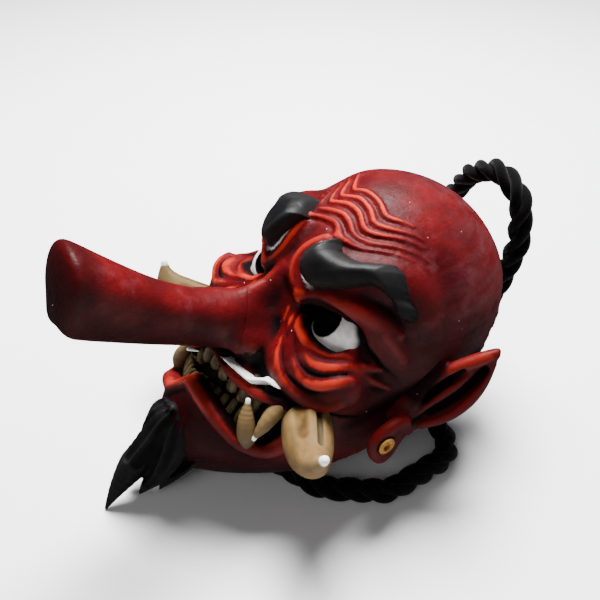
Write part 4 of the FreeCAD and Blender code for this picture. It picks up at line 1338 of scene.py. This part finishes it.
def rounded_path(corners, step=0.8):
    """Even samples of straight runs with an arc at every corner."""
    corners = [Vector(p) for p in corners]
    points = [corners[0]]
    for before, corner, after in zip(corners, corners[1:], corners[2:]):
        back, ahead = before - corner, after - corner
        half = back.angle(ahead) / 2
        reach = min(CORD_BEND / math.tan(half), 0.48 * back.length, 0.48 * ahead.length)
        radius = reach * math.tan(half)
        back.normalize()
        ahead.normalize()
        centre = corner + (back + ahead).normalized() * (radius / math.sin(half))
        first, last = corner + back * reach - centre, corner + ahead * reach - centre
        turn = math.pi - 2 * half
        for i in range(13):
            t = i / 12
            arc = (math.sin((1 - t) * turn) * first + math.sin(t * turn) * last) / math.sin(turn)
            points.append(centre + arc)
    points.append(corners[-1])
    points = np.array([p[:] for p in points])
    length = np.concatenate([[0], np.cumsum(np.linalg.norm(np.diff(points, axis=0), axis=1))])
    even = np.linspace(0, length[-1], int(length[-1] / step))
    return np.stack([np.interp(even, length, points[:, i]) for i in range(3)], 1), even


def carried_frame(path):
    """Two unit vectors across a path, carried along it without twist."""
    tangent = np.gradient(path, axis=0)
    tangent /= np.linalg.norm(tangent, axis=1)[:, None]
    across = np.zeros_like(path)
    across[0] = np.cross(tangent[0], (0.0, 0.3, 1.0))
    for i in range(1, len(path)):
        across[i] = across[i - 1] - tangent[i] * (across[i - 1] @ tangent[i])
        across[i] /= np.linalg.norm(across[i])
    across[0] /= np.linalg.norm(across[0])
    return across, np.cross(tangent, across)


def strand_points(centre, across):
    """Rings of points round a strand's middle line."""
    run = np.gradient(centre, axis=0)
    run /= np.linalg.norm(run, axis=1)[:, None]
    u = across - run * np.einsum("ij,ij->i", across, run)[:, None]
    u /= np.linalg.norm(u, axis=1)[:, None]
    v = np.cross(run, u)
    angle = (2 * math.pi * np.arange(STRAND_SIDES) / STRAND_SIDES)[None, :, None]
    rings = centre[:, None] + STRAND_R * (np.cos(angle) * u[:, None] + np.sin(angle) * v[:, None])
    return rings.reshape(-1, 3)


def strand_faces(base, rings):
    """The skin and both end caps of a strand whose points start at index base."""
    sides = STRAND_SIDES
    faces = []
    for ring in range(rings - 1):
        p = base + ring * sides
        for k in range(sides):
            m = (k + 1) % sides
            faces.append((p + k, p + m, p + sides + m, p + sides + k))
    faces.append(tuple(base + k for k in reversed(range(sides))))
    faces.append(tuple(base + (rings - 1) * sides + k for k in range(sides)))
    return faces


def build_cord(name, node, body, socket, deep, middle, seed):
    """A three-strand cord from one socket of the rim, along the middle corners, to the other."""
    ends = to_table([(x, *socket) for x in (deep, CORD_TURN, -CORD_TURN, -deep)]) / MM
    path, along = rounded_path([*ends[:2], *middle, *ends[2:]])
    for i in range(3):
        path[:, i] = softened(path[:, i], 5)
    across, other = carried_frame(path)
    points, faces = [], []
    rng = np.random.default_rng(seed)
    for strand in range(3):
        wave = np.interp(along, np.linspace(0, along[-1], 24), rng.normal(0, 0.05, 24))
        phase = (2 * math.pi * (along / CORD_LAY + strand / 3) + wave)[:, None]
        centre = path + STRAND_OFF * (np.cos(phase) * across + np.sin(phase) * other)
        faces += strand_faces(len(path) * STRAND_SIDES * strand, len(path))
        points.append(strand_points(centre, across))
    piece = mesh_object(name, (np.concatenate(points) * MM).tolist(), faces)
    piece.data.shade_smooth()
    join_frame(piece, MATERIALS["cord"], [node], body)


# ---------------------------------------------------------------- scene

def build_head():
    """The face and the nose, and the brows and white strips that lie on them."""
    face, nose, whole, narrow, wide = make_head()
    brow_clay = make_brow(whole, BROW_OUTLINE)
    build_brows(brow_clay, make_brow(whole, FAR_BROW_OUTLINE))
    build_moustache(whole)
    for clay, name, node, triangles in ((face, "face_visual", "face_shell", 190000),
                                        (nose, "nose_visual", "nose", 60000)):
        piece = mesh_from_clay(clay, name, triangles)
        paint_head(piece, whole, narrow, wide, brow_clay)
        join_frame(piece, MATERIALS["red"], [node])


def finish_kept_nodes():
    """The pins and pegs inside stay as the CAD has them, in steel."""
    for name in ("nose_dowel", "tusk_pins", "ear_pins", "beard_peg"):
        node = bpy.data.objects[name]
        node.data.materials.clear()
        node.data.materials.append(MATERIALS["steel"])


def area_light(name, place, target, size, power, glossy=True):
    data = bpy.data.lights.new(name, "AREA")
    data.shape = "DISK"
    data.size = size
    data.energy = power
    lamp = add_object(name, data)
    lamp.location = place
    lamp.visible_glossy = glossy
    lamp.rotation_euler = (Vector(target) - Vector(place)).to_track_quat("-Z", "Y").to_euler()


def set_stage():
    """A pale table, a dim even sky that shines half as bright in reflections, and three lamps."""
    half = 3.0
    corners = [(-half, -half, 0), (half, -half, 0), (half, half, 0), (-half, half, 0)]
    floor = mesh_object("table", corners, [(0, 1, 2, 3)])
    floor.data.materials.append(Nodes("table_white").finish((0.93, 0.93, 0.935), 0.7))
    floor.visible_glossy = False
    world = bpy.data.worlds.new("studio")
    bpy.context.scene.world = world
    world.use_nodes = True
    tree = world.node_tree
    sky = tree.nodes["Background"]
    sky.inputs["Color"].default_value = (0.93, 0.96, 1.0, 1)
    path = tree.nodes.new("ShaderNodeLightPath")
    dim = tree.nodes.new("ShaderNodeMapRange")
    dim.inputs["To Min"].default_value = 0.10
    dim.inputs["To Max"].default_value = 0.05
    tree.links.new(path.outputs["Is Glossy Ray"], dim.inputs["Value"])
    tree.links.new(dim.outputs["Result"], sky.inputs["Strength"])
    area_light("key", (-0.26, 0.16, 0.68), (0.0, 0.0, 0.02), 0.40, 28.0, False)
    area_light("glint", (-0.20, 0.22, 0.60), (0.0, 0.0, 0.06), 0.24, 5.0)
    area_light("fill", (0.3, -0.6, 0.6), (0.0, 0.0, 0.06), 0.5, 1.3, False)


CAMERA_TARGET = Vector((9.75, HEAD_SHIFT, 64.0)) * MM
CAMERA_TOWARD = Vector((0.6554, -0.4175, 0.6293)).normalized()
CAMERA_DISTANCE = 0.195


def set_camera():
    data = bpy.data.cameras.new("camera")
    data.lens = 39.0
    data.sensor_width = 36.0
    data.clip_start = 0.01
    camera = add_object("camera", data)
    camera.location = CAMERA_TARGET + CAMERA_TOWARD * CAMERA_DISTANCE
    camera.rotation_euler = CAMERA_TOWARD.to_track_quat("Z", "Y").to_euler()
    bpy.context.scene.camera = camera


build_head()
build_eyes()
build_teeth()
build_horns()
build_ears()
build_beard()
build_eyelets()
build_cord("hanging_cord_visual", "hanging_cord", "hanging_loop", HANG_SOCKET, HANG_DEEP, HANG_PATH, 3)
build_cord("tie_cord_visual", "tie_cord", "mask", TIE_SOCKET, TIE_DEEP, TIE_PATH, 5)
finish_kept_nodes()
set_stage()
set_camera()
